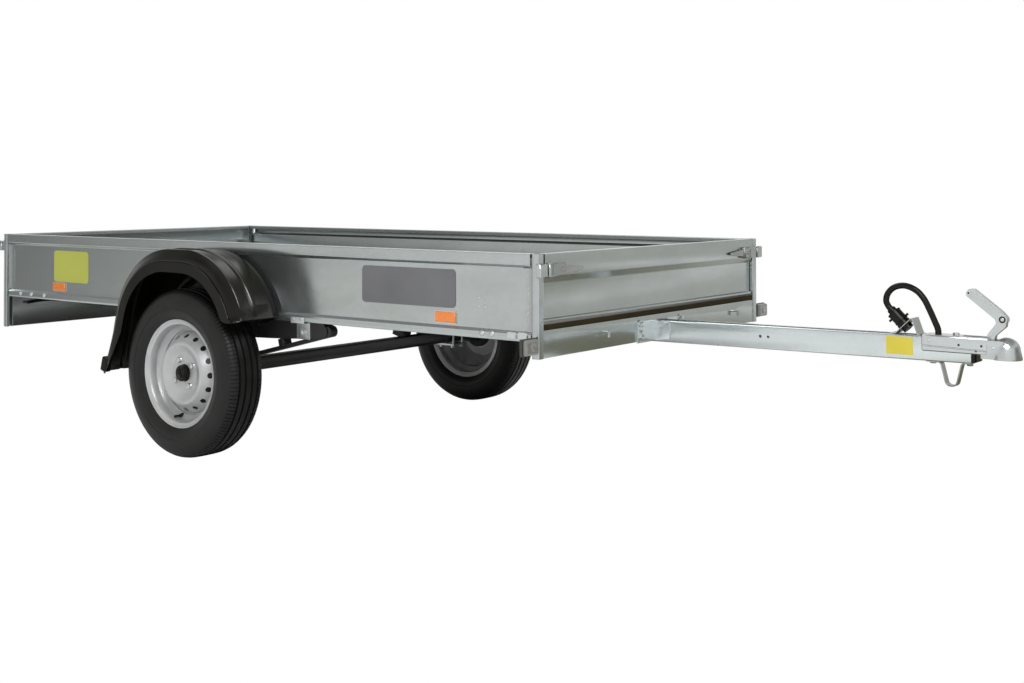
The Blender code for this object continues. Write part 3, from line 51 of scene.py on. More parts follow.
PITCH = math.atan2(deck_mount["axis"][0], deck_mount["axis"][2])
PARKED = (Matrix.Translation(AXLE) @ Matrix.Rotation(PITCH, 4, "Y")
          @ Matrix.Translation((0, 0, -AXLE.z)))
CAMERA_PLACE = (3.6525, -3.6748, 0.9209)
CAMERA_YAW, CAMERA_RISE, CAMERA_ROLL = 2.23187, 0.01890, -0.00247
FOCUS_PX, FRAME_PX = 1331.79, 1024

look = Vector((math.cos(CAMERA_YAW) * math.cos(CAMERA_RISE),
               math.sin(CAMERA_YAW) * math.cos(CAMERA_RISE), math.sin(CAMERA_RISE)))
across = look.cross(Vector((0, 0, 1))).normalized()
upward = across.cross(look)
turn = Matrix.Rotation(CAMERA_ROLL, 3, -look)
camera_axes = Matrix((turn @ across, turn @ upward, -look)).transposed().to_4x4()
camera = bpy.data.objects.new("camera", bpy.data.cameras.new("camera"))
camera.data.sensor_width = 36
camera.data.lens = FOCUS_PX / FRAME_PX * camera.data.sensor_width
camera.data.shift_y = -0.1785
camera.data.clip_end = 60
camera.matrix_world = PARKED @ Matrix.Translation(CAMERA_PLACE) @ camera_axes
bpy.context.scene.collection.objects.link(camera)
bpy.context.scene.camera = camera
bpy.context.scene.view_settings.view_transform = "Standard"


# Studio. A pale floor that the eye sees as plain white, a white surround, two large soft lamps, and
# cards that only reflections see, as the walls of a studio are.
def shader_tree(name):
    """A new material's node tree, its surface shader and its output."""
    material = bpy.data.materials.new(name)
    material.use_nodes = True
    tree = material.node_tree
    return material, tree, tree.nodes["Principled BSDF"]


def add_node(tree, kind, links=(), **values):
    """A node with its values set and its inputs wired, by input name or number."""
    made = tree.nodes.new("ShaderNode" + kind)
    for key, value in values.items():
        if hasattr(made, key) and key not in made.inputs:
            setattr(made, key, value)
        else:
            made.inputs[key].default_value = value
    for socket, source in dict(links).items():
        tree.links.new(source, made.inputs[socket])
    return made


def white_to_eye(tree, strength):
    """Share of a ray that sees plain white: camera, glossy and transmission rays."""
    path = tree.nodes.new("ShaderNodeLightPath")
    seen = add_node(tree, "Math", {0: path.outputs["Is Camera Ray"], 1: path.outputs["Is Glossy Ray"]},
                    operation="MAXIMUM")
    seen = add_node(tree, "Math", {0: seen.outputs[0], 1: path.outputs["Is Transmission Ray"]},
                    operation="MAXIMUM")
    return add_node(tree, "MapRange", {"Value": seen.outputs[0]}, **{"To Min": strength, "To Max": 1.0})


ROOM_LIGHT, CEILING = 0.62, 0.30
world = bpy.data.worlds.new("surround")
world.use_nodes = True
tree = world.node_tree
room = tree.nodes["Background"]
room.inputs["Color"].default_value = (1, 1, 1, 1)
heading = add_node(tree, "SeparateXYZ", {0: add_node(tree, "TexCoord").outputs["Generated"]})
walls = add_node(tree, "MapRange", {"Value": heading.outputs["Z"]}, interpolation_type="SMOOTHSTEP",
                 **{"From Min": 0.10, "From Max": 0.75, "To Min": 1.0, "To Max": CEILING})
path = add_node(tree, "LightPath")
mirrored = add_node(tree, "MixRGB", {0: path.outputs["Is Glossy Ray"], 2: walls.outputs[0]})
tree.links.new(white_to_eye(tree, ROOM_LIGHT).outputs[0], mirrored.inputs[1])
tree.links.new(mirrored.outputs[0], room.inputs["Strength"])
bpy.context.scene.world = world


def add_softbox(name, place, target, size, power):
    """A square lamp that faces a point of the trailer."""
    lamp = bpy.data.lights.new(name, "AREA")
    lamp.size, lamp.energy = size, power
    stand = bpy.data.objects.new(name, lamp)
    stand.location = place
    stand.rotation_euler = (Vector(target) - Vector(place)).to_track_quat("-Z", "Y").to_euler()
    bpy.context.scene.collection.objects.link(stand)
    return stand


add_softbox("key_lamp", (3.6, -3.4, 3.2), (0.0, 0.0, 0.4), 2.4, 120)
add_softbox("top_lamp", (-0.6, 0.6, 4.2), (0.0, 0.0, 0.3), 3.6, 90)

floor_bm = bmesh.new()
bmesh.ops.create_circle(floor_bm, cap_ends=True, segments=96, radius=18)
floor_mesh = bpy.data.meshes.new("studio_floor")
floor_bm.to_mesh(floor_mesh)
floor_bm.free()
studio_floor = bpy.data.objects.new("studio_floor", floor_mesh)
studio_floor.location.z = -0.0005
floor_paint, tree, shader = shader_tree("pale_floor")
shader.inputs["Base Color"].default_value = (0.90, 0.90, 0.90, 1)
shader.inputs["Roughness"].default_value = 0.9
shader.inputs["Specular IOR Level"].default_value = 0.1
spot = add_node(tree, "TexCoord")
reach = add_node(tree, "VectorMath", {0: spot.outputs["Object"]}, operation="LENGTH")
fade = add_node(tree, "MapRange", {"Value": reach.outputs["Value"]}, interpolation_type="SMOOTHSTEP",
                **{"From Min": 2.0, "From Max": 4.5})
seen = add_node(tree, "LightPath")
clean = add_node(tree, "Math", {0: fade.outputs[0], 1: seen.outputs["Is Camera Ray"]}, operation="MAXIMUM")
glow = add_node(tree, "Emission", {"Strength": white_to_eye(tree, 0.7).outputs[0]})
blend = add_node(tree, "MixShader", {0: clean.outputs[0], 1: shader.outputs[0], 2: glow.outputs[0]})
tree.links.new(blend.outputs[0], tree.nodes["Material Output"].inputs["Surface"])
floor_mesh.materials.append(floor_paint)
bpy.context.scene.collection.objects.link(studio_floor)


def add_grey_card(name, middle, turn, size, dark, light, start=-0.5):
    """A card whose tone runs along its length from dark to light, seen only in reflections."""
    bm = bmesh.new()
    bmesh.ops.create_grid(bm, x_segments=1, y_segments=1, size=0.5)
    mesh = bpy.data.meshes.new(name)
    bm.to_mesh(mesh)
    bm.free()
    card = bpy.data.objects.new(name, mesh)
    card.location, card.rotation_euler, card.scale = middle, turn, (*size, 1)
    paint, tree, _ = shader_tree(name)
    place = add_node(tree, "TexCoord")
    split = add_node(tree, "SeparateXYZ", {0: place.outputs["Object"]})
    tone = add_node(tree, "MapRange", {"Value": split.outputs["X"]}, interpolation_type="SMOOTHSTEP",
                    **{"From Min": start, "From Max": 0.5})
    shade = add_node(tree, "MixRGB", {0: tone.outputs[0]}, Color1=(*dark, 1), Color2=(*light, 1))
    glow = add_node(tree, "Emission", {"Color": shade.outputs[0]})
    tree.links.new(glow.outputs[0], tree.nodes["Material Output"].inputs["Surface"])
    mesh.materials.append(paint)
    card.visible_camera = card.visible_shadow = card.visible_diffuse = False
    bpy.context.scene.collection.objects.link(card)


add_grey_card("side_card", (-4.15, -3.2, 1.6), (math.pi / 2, 0, 0), (6.7, 3.6), (0.10, 0.099, 0.094),
              (1.0, 0.99, 0.955))
add_grey_card("floor_card", (2.10, 1.175, 0.0004), (0, 0, math.pi / 2), (2.65, 3.0), (0.22, 0.21, 0.14),
              (0.92, 0.92, 0.90), start=-0.42)
add_grey_card("far_card", (3.5, 3.0, 0.6), (math.pi / 2, 0, 0), (3.8, 1.2), (0.62, 0.62, 0.58),
              (0.50, 0.50, 0.45))
add_grey_card("end_card", (4.2, 0.9, 0.8), (0, -math.pi / 2, 0), (1.6, 2.2), (0.10, 0.10, 0.09),
              (0.95, 0.95, 0.93))


# Folded galvanised sheet. The side panels, gates, posts and members are bent from zinc-coated
# steel, which keeps a faint spangle, soft rolling waves and dull patches where it was handled.
def tint(tree, shader, gain, colour):
    """Base colour: a plain colour times a varying gain."""
    base = add_node(tree, "VectorMath", {0: gain.outputs[0]}, operation="MULTIPLY")
    base.inputs[1].default_value = colour
    tree.links.new(base.outputs[0], shader.inputs["Base Color"])


def zinc_finish(name, colour, roughness, spangle=75.0, patch=0.10, wave=0.35):
    """Zinc-coated steel: spangle and patches in its tone, waves and grain in its surface."""
    material, tree, shader = shader_tree(name)
    place = add_node(tree, "TexCoord").outputs["Object"]
    crystals = add_node(tree, "TexVoronoi", {"Vector": place}, Scale=spangle, Randomness=1.0)
    grain = add_node(tree, "SeparateColor", {0: crystals.outputs["Color"]})
    stretched = add_node(tree, "Mapping", {"Vector": place}, Scale=(0.8, 1.0, 2.6))
    dull = add_node(tree, "TexNoise", {"Vector": stretched.outputs[0]}, Scale=3.2, Detail=4.0,
                    Roughness=0.55)
    fine = add_node(tree, "TexNoise", {"Vector": place}, Scale=260.0, Detail=2.0)
    patches = add_node(tree, "MapRange", {"Value": dull.outputs["Fac"]},
                       **{"From Min": 0.3, "From Max": 0.7, "To Min": 1 - patch, "To Max": 1 + patch})
    flakes = add_node(tree, "MapRange", {"Value": grain.outputs["Red"]},
                      **{"To Min": 0.98, "To Max": 1.02})
    tone = add_node(tree, "Math", {0: patches.outputs[0], 1: flakes.outputs[0]}, operation="MULTIPLY")
    tint(tree, shader, tone, colour)
    rough = add_node(tree, "MapRange", {"Value": dull.outputs["Fac"]},
                     **{"From Min": 0.25, "From Max": 0.75, "To Min": roughness + 0.05,
                        "To Max": roughness - 0.04})
    tree.links.new(rough.outputs[0], shader.inputs["Roughness"])
    shader.inputs["Metallic"].default_value = 0.92
    swell = add_node(tree, "TexNoise", {"Vector": place}, Scale=3.0, Detail=0.0)
    waves = add_node(tree, "Bump", {"Height": swell.outputs["Fac"]}, Strength=wave, Distance=0.004)
    pores = add_node(tree, "Bump", {"Height": fine.outputs["Fac"], "Normal": waves.outputs[0]},
                     Strength=0.04, Distance=0.0003)
    tree.links.new(pores.outputs[0], shader.inputs["Normal"])
    return material


def put_on(name, bm, finish, body="chassis", stands_for=(), smooth=38, level=True):
    """Tips a level shape to the parked pose, paints it and fixes it to its body."""
    if level:
        bmesh.ops.transform(bm, matrix=PARKED, verts=bm.verts)
    mesh = bpy.data.meshes.new(name)
    bm.to_mesh(mesh)
    bm.free()
    for paint in finish if isinstance(finish, (list, tuple)) else [finish]:
        mesh.materials.append(paint)
    mesh.shade_smooth()
    mesh.set_sharp_from_angle(angle=math.radians(smooth))
    piece = bpy.data.objects.new(name, mesh)
    bpy.context.scene.collection.objects.link(piece)
    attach(piece, body)
    if stands_for:
        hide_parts(*stands_for)
    return piece


def welded_copy(node):
    """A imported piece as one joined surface, its flat faces whole again."""
    bm = bmesh.new()
    bm.from_mesh(frame["nodes"][node].data)
    bmesh.ops.remove_doubles(bm, verts=bm.verts, dist=0.00002)
    bmesh.ops.dissolve_limit(bm, angle_limit=math.radians(0.5), verts=bm.verts, edges=bm.edges)
    return bm


def ease_edges(piece, width, segments=2, angle=40):
    """Rounds the folded and cut edges of a piece a little."""
    bevel = piece.modifiers.new("eased_edges", "BEVEL")
    bevel.width, bevel.segments = width, segments
    bevel.limit_method, bevel.angle_limit = "ANGLE", math.radians(angle)
    bevel.harden_normals = True
    return piece


def dress(name, node, finish, width, body="chassis", segments=2):
    """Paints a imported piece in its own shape, with eased edges, and stands in for it."""
    return ease_edges(put_on(name, welded_copy(node), finish, body, [node], level=False),
                      width, segments)


SHEET_EDGE = 0.0004
galvanised = zinc_finish("galvanised_sheet", (0.44, 0.475, 0.475), 0.20, patch=0.07, wave=0.30)
for node in ("side_panel_left", "side_panel_right", "front_crossmember", "rear_light_panel",
             "floor_crossmember_front", "floor_crossmember_rear", "corner_post_front_left",
             "corner_post_front_right", "corner_post_rear_left", "corner_post_rear_right"):
    dress(f"{node}_sheet", node, galvanised, SHEET_EDGE)
for gate in ("front_gate", "rear_gate"):
    dress(f"{gate}_sheet", gate, galvanised, SHEET_EDGE, gate)


# Load floor. One board of film-faced plywood: a dark brown film with a fine wire-mesh print on
# top, and bare layered edges that show as a brown line under each gate.
def film_finish():
    """Dark phenolic film with a raised diamond print."""
    material, tree, shader = shader_tree("phenolic_film")
    place = add_node(tree, "TexCoord").outputs["Object"]
    wear = add_node(tree, "TexNoise", {"Vector": place}, Scale=4.0, Detail=5.0)
    tone = add_node(tree, "ValToRGB", {"Fac": wear.outputs["Fac"]})
    tone.color_ramp.elements[0].color = (0.030, 0.017, 0.010, 1)
    tone.color_ramp.elements[1].color = (0.066, 0.038, 0.022, 1)
    tree.links.new(tone.outputs["Color"], shader.inputs["Base Color"])
    height = None
    for name, angle in (("print_one", 45), ("print_two", -45)):
        turned = add_node(tree, "Mapping", {"Vector": place}, Rotation=(0, 0, math.radians(angle)))
        lines = add_node(tree, "TexWave", {"Vector": turned.outputs[0]}, Scale=32.0)
        lines.name = name
        height = lines if height is None else add_node(
            tree, "Math", {0: height.outputs["Fac"], 1: lines.outputs["Fac"]}, operation="MAXIMUM")
    mesh_print = add_node(tree, "Bump", {"Height": height.outputs[0]}, Strength=0.35, Distance=0.0006)
    tree.links.new(mesh_print.outputs[0], shader.inputs["Normal"])
    shader.inputs["Roughness"].default_value = 0.42
    return material


def ply_edge_finish():
    """The cut edge of plywood: thin light and dark layers, square to the board."""
    material, tree, shader = shader_tree("plywood_edge")
    place = add_node(tree, "TexCoord").outputs["Object"]
    level = add_node(tree, "Mapping", {"Vector": place}, Rotation=(0, -PITCH, 0))
    plies = add_node(tree, "TexWave", {"Vector": level.outputs[0]}, bands_direction="Z", Scale=110.0,
                     Distortion=0.4)
    stain = add_node(tree, "TexNoise", {"Vector": place}, Scale=9.0, Detail=4.0)
    mixed = add_node(tree, "Math", {0: plies.outputs["Fac"], 1: stain.outputs["Fac"]}, operation="MULTIPLY")
    tone = add_node(tree, "ValToRGB", {"Fac": mixed.outputs[0]})
    tone.color_ramp.elements[0].color = (0.012, 0.010, 0.003, 1)
    tone.color_ramp.elements[1].color = (0.055, 0.040, 0.012, 1)
    tree.links.new(tone.outputs["Color"], shader.inputs["Base Color"])
    shader.inputs["Roughness"].default_value = 0.7
    shader.inputs["Specular IOR Level"].default_value = 0.12
    return material


board = welded_copy("floor_board")
board_up = Vector(deck_mount["axis"])
for face in board.faces:
    face.material_index = 0 if abs(face.normal.dot(board_up)) > 0.7 else 1
ease_edges(put_on("load_floor_board", board, [film_finish(), ply_edge_finish()],
                  stands_for=["floor_board"], level=False), 0.0008)


# Plates on the side panels. A blank grey name plate and a blank lime size sticker, both with
# rounded corners, lie on the recessed field of each panel.
HALF_WIDTH = 0.656
FIELD_Y = HALF_WIDTH - 0.013
BOX_FRONT, BOX_REAR = 1.398, -1.324


def facing(direction):
    """The turn that points a shape's own +Z along a direction."""
    return Vector(direction).to_track_quat("Z", "Y").to_matrix().to_4x4()


def add_plate(bm, low, high, plane, side, thick, corner):
    """A rounded flat plate on a side panel, from its low and high corners in x and z."""
    middle = ((low[0] + high[0]) / 2, side * plane, (low[1] + high[1]) / 2)
    made = bmesh.ops.create_grid(bm, x_segments=1, y_segments=1, size=0.5)["verts"]
    bmesh.ops.transform(bm, verts=made, matrix=Matrix.Translation(middle)
                        @ Matrix.Rotation(math.pi / 2, 4, "X")
                        @ Matrix.Diagonal((high[0] - low[0], high[1] - low[1], 1, 1)))
    bmesh.ops.bevel(bm, geom=made, offset=corner, segments=6, profile=0.5, affect="VERTICES",
                    material=-1)
    grown = bmesh.ops.extrude_face_region(bm, geom=bm.faces[:])["geom"]
    bmesh.ops.translate(bm, vec=(0, side * thick, 0),
                        verts=[v for v in grown if isinstance(v, bmesh.types.BMVert)])
    bmesh.ops.recalc_face_normals(bm, faces=bm.faces)


def enamel_finish(name, colour, roughness, cloud=0.06):
    """A printed or enamelled face with a faint cloud in its tone."""
    material, tree, shader = shader_tree(name)
    place = add_node(tree, "TexCoord").outputs["Object"]
    haze = add_node(tree, "TexNoise", {"Vector": place}, Scale=6.0, Detail=3.0)
    gain = add_node(tree, "MapRange", {"Value": haze.outputs["Fac"]},
                    **{"From Min": 0.3, "From Max": 0.7, "To Min": 1 - cloud, "To Max": 1 + cloud})
    tint(tree, shader, gain, colour)
    shader.inputs["Roughness"].default_value = roughness
    return material


charcoal = enamel_finish("charcoal_plate", (0.135, 0.137, 0.146), 0.30, 0.12)
lime = enamel_finish("lime_sticker", (0.47, 0.50, 0.07), 0.42, 0.04)
for side_name, side in (("left", 1), ("right", -1)):
    plate = bmesh.new()
    add_plate(plate, (0.695, 0.551), (1.081, 0.666), FIELD_Y + 0.0002, side, 0.0012, 0.014)
    put_on(f"name_plate_{side_name}", plate, charcoal)
    sticker = bmesh.new()
    add_plate(sticker, (-0.986, 0.543), (-0.760, 0.664), FIELD_Y + 0.0002, side, 0.0005, 0.014)
    put_on(f"size_sticker_{side_name}", sticker, lime)


# Bolts and rivets. Zinc-plated domed rivets and two clips sit along each panel and its sill, and
# hexagon screws with a washer are drawn the same way for the pieces further on.
plated = zinc_finish("plated_fixings", (0.58, 0.60, 0.60), 0.30, spangle=400.0, patch=0.05)


def add_hex(bm, place, direction, across_flats=0.013, tall=0.006, washer=True):
    """A hexagon head on a washer, standing on a face."""
    stand = Matrix.Translation(place) @ facing(direction)
    if washer:
        bmesh.ops.create_cone(bm, cap_ends=True, segments=24, radius1=across_flats * 0.92,
                              radius2=across_flats * 0.88, depth=0.0016,
                              matrix=stand @ Matrix.Translation((0, 0, 0.0007)))
    radius = across_flats / math.sqrt(3)
    made = bmesh.ops.create_cone(bm, cap_ends=True, segments=6, radius1=radius, radius2=radius, depth=tall,
                                 matrix=stand @ Matrix.Translation((0, 0, tall / 2 + 0.001)))["verts"]
    top = [e for e in {e for v in made for e in v.link_edges}
           if all((stand.inverted() @ v.co).z > tall * 0.9 for v in e.verts)]
    bmesh.ops.bevel(bm, geom=top, offset=tall * 0.12, segments=2, profile=0.5, affect="EDGES", material=-1)


def add_dome(bm, place, direction, radius, tall):
    """A domed rivet or cup-square head."""
    stand = Matrix.Translation(place) @ facing(direction) @ Matrix.Diagonal((1, 1, tall / radius, 1))
    made = bmesh.ops.create_uvsphere(bm, u_segments=20, v_segments=12, radius=radius, matrix=stand)["verts"]
    below = [v for v in made if (stand.inverted() @ v.co).z < -radius * 0.3]
    bmesh.ops.delete(bm, geom=below, context="VERTS")
    rim = [e for v in made if v.is_valid for e in v.link_edges if e.is_boundary]
    bmesh.ops.holes_fill(bm, edges=list(set(rim)), sides=0)


for side_name, side in (("left", 1), ("right", -1)):
    rivets = bmesh.new()
    for x in (1.169, 1.192):
        for z in (0.562, 0.587):
            add_dome(rivets, (x, side * FIELD_Y, z), (0, side, 0), 0.0032, 0.0016)
    for k in range(10):
        add_dome(rivets, (BOX_FRONT - 0.046, side * (FIELD_Y + 0.0027), 0.515 + k * 0.018),
                 (0, side, 0), 0.0022, 0.0010)
    sill = HALF_WIDTH - 0.004
    for x, z in ((1.300, 0.4865), (1.340, 0.4880)):
        bmesh.ops.create_cube(rivets, size=1, matrix=Matrix.Translation((x, side * (sill + 0.002), z))
                              @ Matrix.Diagonal((0.030, 0.004, 0.018, 1)))
    for x in (1.188, 1.225, -1.205, -1.130, -1.040):
        add_dome(rivets, (x, side * sill, 0.486), (0, side, 0), 0.0085, 0.0045)
    put_on(f"side_fixings_{side_name}", rivets, plated)


# Moulded black plastic, for the mudguards, plugs, lead and hub caps.
def moulded_finish(name, colour, roughness, grain=0.25, scale=420.0):
    """Moulded black plastic with a fine leather-like grain and a little dust."""
    material, tree, shader = shader_tree(name)
    place = add_node(tree, "TexCoord").outputs["Object"]
    dust = add_node(tree, "TexNoise", {"Vector": place}, Scale=5.0, Detail=6.0)
    tone = add_node(tree, "MapRange", {"Value": dust.outputs["Fac"]},
                    **{"From Min": 0.35, "From Max": 0.75, "To Min": 0.85, "To Max": 1.5})
    tint(tree, shader, tone, colour)
    rough = add_node(tree, "MapRange", {"Value": dust.outputs["Fac"]},
                     **{"To Min": roughness - 0.06, "To Max": roughness + 0.08})
    tree.links.new(rough.outputs[0], shader.inputs["Roughness"])
    pebbles = add_node(tree, "TexVoronoi", {"Vector": place}, Scale=scale)
    bump = add_node(tree, "Bump", {"Height": pebbles.outputs["Distance"]}, Strength=grain, Distance=0.0005)
    tree.links.new(bump.outputs[0], shader.inputs["Normal"])
    shader.inputs["Specular IOR Level"].default_value = 0.22
    return material


black_plastic = moulded_finish("moulded_black", (0.0036, 0.0034, 0.0024), 0.21, 0.04)


# Mudguards. Each is one moulded sheet carried round the wheel: an inner wall beside the box, a
# crown with one raised rib, a grooved shoulder, and a skirt that rounds off at the front tip. A lamp
# of their own picks out the ribs.
GUARD_TOP, GUARD_RADIUS, SKIRT_CORNER, SKIRT_TAPER = 0.700, 0.300, 0.030, 0.170
RIB_END, SKIRT_Y, GUARD_SHEET = 0.030, 0.812, 0.0033
GUARD_SECTION = ((0.6566, 0.110), (0.6566, 0.060), (0.6566, 0.0105), (0.6575, 0.0072), (0.6785, 0.0006),
                 (0.6830, 0.0), (0.7430, 0.0), (0.7465, -0.0025), (0.7500, -0.0045), (0.7550, -0.0050),
                 (0.7600, -0.0045), (0.7635, -0.0025), (0.7670, 0.0), (0.8050, 0.0002), (0.8075, -0.0022),
                 (0.8115, -0.0030), (0.8155, -0.0016), (0.8185, 0.0030), (0.8215, 0.0095),
                 (0.8290, 0.0180), (0.8345, 0.0270), (0.8372, 0.0340), (0.8360, 0.0365),
                 (0.8360, 0.0390), (0.8388, 0.0405), (0.8405, 0.0560), (0.8418, 0.0735),
                 (0.8400, 0.0752))
REAR_LEG = (Vector((-0.397, 0, 0.262)), Vector((-0.279, 0, GUARD_TOP)))
FRONT_LEG = (Vector((0.325, 0, 0.480)), Vector((0.255, 0, GUARD_TOP)))


def run_guard(bm, start, tip, corner, sense):
    """Carries the guard's section round one bend and down its leg to the tip."""
    down = (tip - corner).normalized()
    turn = Vector((sense, 0, 0)).angle(down)
    reach = GUARD_RADIUS * math.tan(turn / 2)
    last = bmesh.ops.spin(bm, geom=start, cent=(corner.x - sense * reach, 0, GUARD_TOP - GUARD_RADIUS),
                          axis=(0, 1, 0), angle=sense * turn, steps=28)["geom_last"]
    edges = [g for g in last if isinstance(g, bmesh.types.BMEdge)]
    for _ in range(4):
        grown = bmesh.ops.extrude_edge_only(bm, edges=edges)["geom"]
        fresh = {g for g in grown if isinstance(g, bmesh.types.BMVert)}
        bmesh.ops.translate(bm, vec=down * (((tip - corner).length - reach) / 4), verts=list(fresh))
        edges = [g for g in grown if isinstance(g, bmesh.types.BMEdge) and fresh.issuperset(g.verts)]


lit_guards = bpy.data.collections.new("lit_guards")
guard_lamp = add_softbox("guard_lamp", (1.0, -0.65, 1.65), (-0.10, -0.75, 0.55), 0.7, 40)
guard_lamp.light_linking.receiver_collection = lit_guards
guard_lamp.visible_camera = False
for side_name, side in (("left", 1), ("right", -1)):
    guard = bmesh.new()
    rows = []
    for (tip, corner), sense in ((REAR_LEG, -1), (FRONT_LEG, 1)):
        x = corner.x - sense * GUARD_RADIUS * math.tan(Vector((sense, 0, 0)).angle(tip - corner) / 2)
        verts = [guard.verts.new((x, side * y, GUARD_TOP - depth)) for y, depth in GUARD_SECTION]
        rows.append(verts + [guard.edges.new(pair) for pair in zip(verts, verts[1:])])
    bmesh.ops.bridge_loops(guard, edges=[g for g in rows[0] + rows[1] if isinstance(g, bmesh.types.BMEdge)])
    run_guard(guard, rows[0], *REAR_LEG, -1)
    run_guard(guard, rows[1], *FRONT_LEG, 1)
    bmesh.ops.remove_doubles(guard, verts=guard.verts, dist=0.00005)
    raised = {round(y, 4): -depth for y, depth in GUARD_SECTION if depth < 0}
    for (tip, corner), front in ((FRONT_LEG, True), (REAR_LEG, False)):
        down = (tip - corner).normalized()
        inward = Vector((down.z, 0, -down.x)) * (1 if front else -1)
        for vert in guard.verts:
            past, kept = (tip - vert.co).dot(down), 1
            if vert.co.x * tip.x < 0.03:
                continue
            if front and past < RIB_END:
                height = raised.get(round(abs(vert.co.y), 4), 0)
                vert.co += inward * height * min(1, 2 - 2 * past / RIB_END)
            if abs(vert.co.y) < SKIRT_Y:
                continue
            if front and past < SKIRT_CORNER:
                kept = max(0.15, math.sqrt(max(0, 1 - (1 - past / SKIRT_CORNER) ** 2)))
            elif not front:
                kept = min(1, 0.34 + 0.66 * max(0, past) / SKIRT_TAPER)
            vert.co -= inward * (vert.co - tip).dot(inward) * (1 - kept)
    bmesh.ops.recalc_face_normals(guard, faces=guard.faces)
    if sum(f.normal.z * f.calc_area() for f in guard.faces) < 0:
        bmesh.ops.reverse_faces(guard, faces=guard.faces)
    piece = put_on(f"mudguard_shell_{side_name}", guard, black_plastic,
                   stands_for=[f"mudguard_{side_name}"], smooth=34)
    shell = piece.modifiers.new("shell", "SOLIDIFY")
    shell.thickness, shell.offset = GUARD_SHEET, -1
    lit_guards.objects.link(piece)

    trim = bmesh.new()
    bmesh.ops.create_cube(trim, size=1, matrix=Matrix.Translation((-0.380, side * 0.829, 0.288))
                          @ Matrix.Rotation(0.26, 4, "Y") @ Matrix.Diagonal((0.030, 0.028, 0.052, 1)))
    ease_edges(put_on(f"mudguard_tip_{side_name}", trim, black_plastic), 0.006, 3)


# Tyres. A radial road tyre with four grooves round its tread, narrow cuts across both shoulders,
# a smooth flank with two moulded rings, and beads that sit inside the rim flanges.
WHEEL_Y = 0.7499
TYRE_R = 0.2845
SIPES = 132
TYRE_HALF = ((TYRE_R, 0.0), (TYRE_R, 0.0095), (TYRE_R - 0.007, 0.011), (TYRE_R - 0.007, 0.0165),
             (TYRE_R, 0.018), (TYRE_R - 0.0004, 0.034), (TYRE_R - 0.0074, 0.0355),
             (TYRE_R - 0.0074, 0.0405), (TYRE_R - 0.001, 0.042), (TYRE_R - 0.0032, 0.0520),
             (TYRE_R - 0.0075, 0.0600), (TYRE_R - 0.0140, 0.0663), (TYRE_R - 0.0215, 0.0705),
             (0.2545, 0.0735), (0.2440, 0.0757), (0.2310, 0.0771), (0.2235, 0.0770), (0.2228, 0.0760),
             (0.2200, 0.0759), (0.2190, 0.0762), (0.2080, 0.0745), (0.1980, 0.0712), (0.1915, 0.0672),
             (0.1880, 0.0655), (0.1850, 0.0640), (0.1833, 0.0618), (0.1829, 0.0575), (0.1760, 0.0500),
             (0.1672, 0.0475), (0.1672, 0.0300), (0.1790, 0.0275), (0.2190, 0.0660), (0.2550, 0.0620),
             (0.2700, 0.0450), (0.2730, 0.0))


def rubber_finish():
    """Tyre rubber: black, a little dusty, with a fine bloom on the flank."""
    material, tree, shader = shader_tree("tyre_rubber")
    place = add_node(tree, "TexCoord").outputs["Object"]
    dust = add_node(tree, "TexNoise", {"Vector": place}, Scale=14.0, Detail=6.0, Roughness=0.6)
    tone = add_node(tree, "ValToRGB", {"Fac": dust.outputs["Fac"]})
    tone.color_ramp.elements[0].position, tone.color_ramp.elements[1].position = 0.35, 0.75
    tone.color_ramp.elements[0].color = (0.0045, 0.0045, 0.0045, 1)
    tone.color_ramp.elements[1].color = (0.0105, 0.0102, 0.0098, 1)
    tree.links.new(tone.outputs["Color"], shader.inputs["Base Color"])
    shader.inputs["Roughness"].default_value = 0.44
    shader.inputs["Specular IOR Level"].default_value = 0.30
    skin = add_node(tree, "TexNoise", {"Vector": place}, Scale=520.0, Detail=2.0)
    bump = add_node(tree, "Bump", {"Height": skin.outputs["Fac"]}, Strength=0.18, Distance=0.0005)
    tree.links.new(bump.outputs[0], shader.inputs["Normal"])
    return material


def spun_wheel_part(profile, side, steps=0, pitches=(), closed=True):
    """Turns a section of (radius, distance from the wheel's middle) about the wheel's axle."""
    bm = bmesh.new()
    verts = [bm.verts.new((r, side * y, 0)) for r, y in profile]
    pairs = list(zip(verts, verts[1:])) + ([(verts[-1], verts[0])] if closed else [])
    last = verts + [bm.edges.new(pair) for pair in pairs]
    for share, count in pitches or ((1.0, steps),):
        last = bmesh.ops.spin(bm, geom=last, cent=(0, 0, 0), axis=(0, 1, 0), angle=math.tau * share,
                              steps=count)["geom_last"]
    bmesh.ops.remove_doubles(bm, verts=bm.verts, dist=0.00003)
    bmesh.ops.recalc_face_normals(bm, faces=bm.faces)
    return bm


rubber = rubber_finish()
for side_name, side in (("left", 1), ("right", -1)):
    section = list(TYRE_HALF) + [(r, -y) for r, y in reversed(TYRE_HALF[1:-1])]
    pitches = [(0.84 / SIPES, 2), (0.16 / SIPES, 1)] * SIPES
    tyre = spun_wheel_part(section, side, pitches=pitches)
    for face in [f for f in tyre.faces]:
        middle = face.calc_center_median()
        far = math.hypot(middle.x, middle.z)
        turned = (math.atan2(-middle.z, middle.x) % (math.tau / SIPES)) / (math.tau / SIPES)
        if 0.84 < turned < 1.0 and 0.0425 < abs(middle.y) < 0.0675 and far > 0.264:
            face.select = True
    bmesh.ops.inset_region(tyre, faces=[f for f in tyre.faces if f.select], thickness=0.0002, depth=-0.004)
    bmesh.ops.translate(tyre, vec=(0, side * WHEEL_Y, 0), verts=tyre.verts)
    bmesh.ops.translate(tyre, vec=AXLE, verts=tyre.verts)
    put_on(f"road_tyre_{side_name}", tyre, rubber, f"wheel_{side_name}",
           [f"tyre_{side_name}"], level=False)


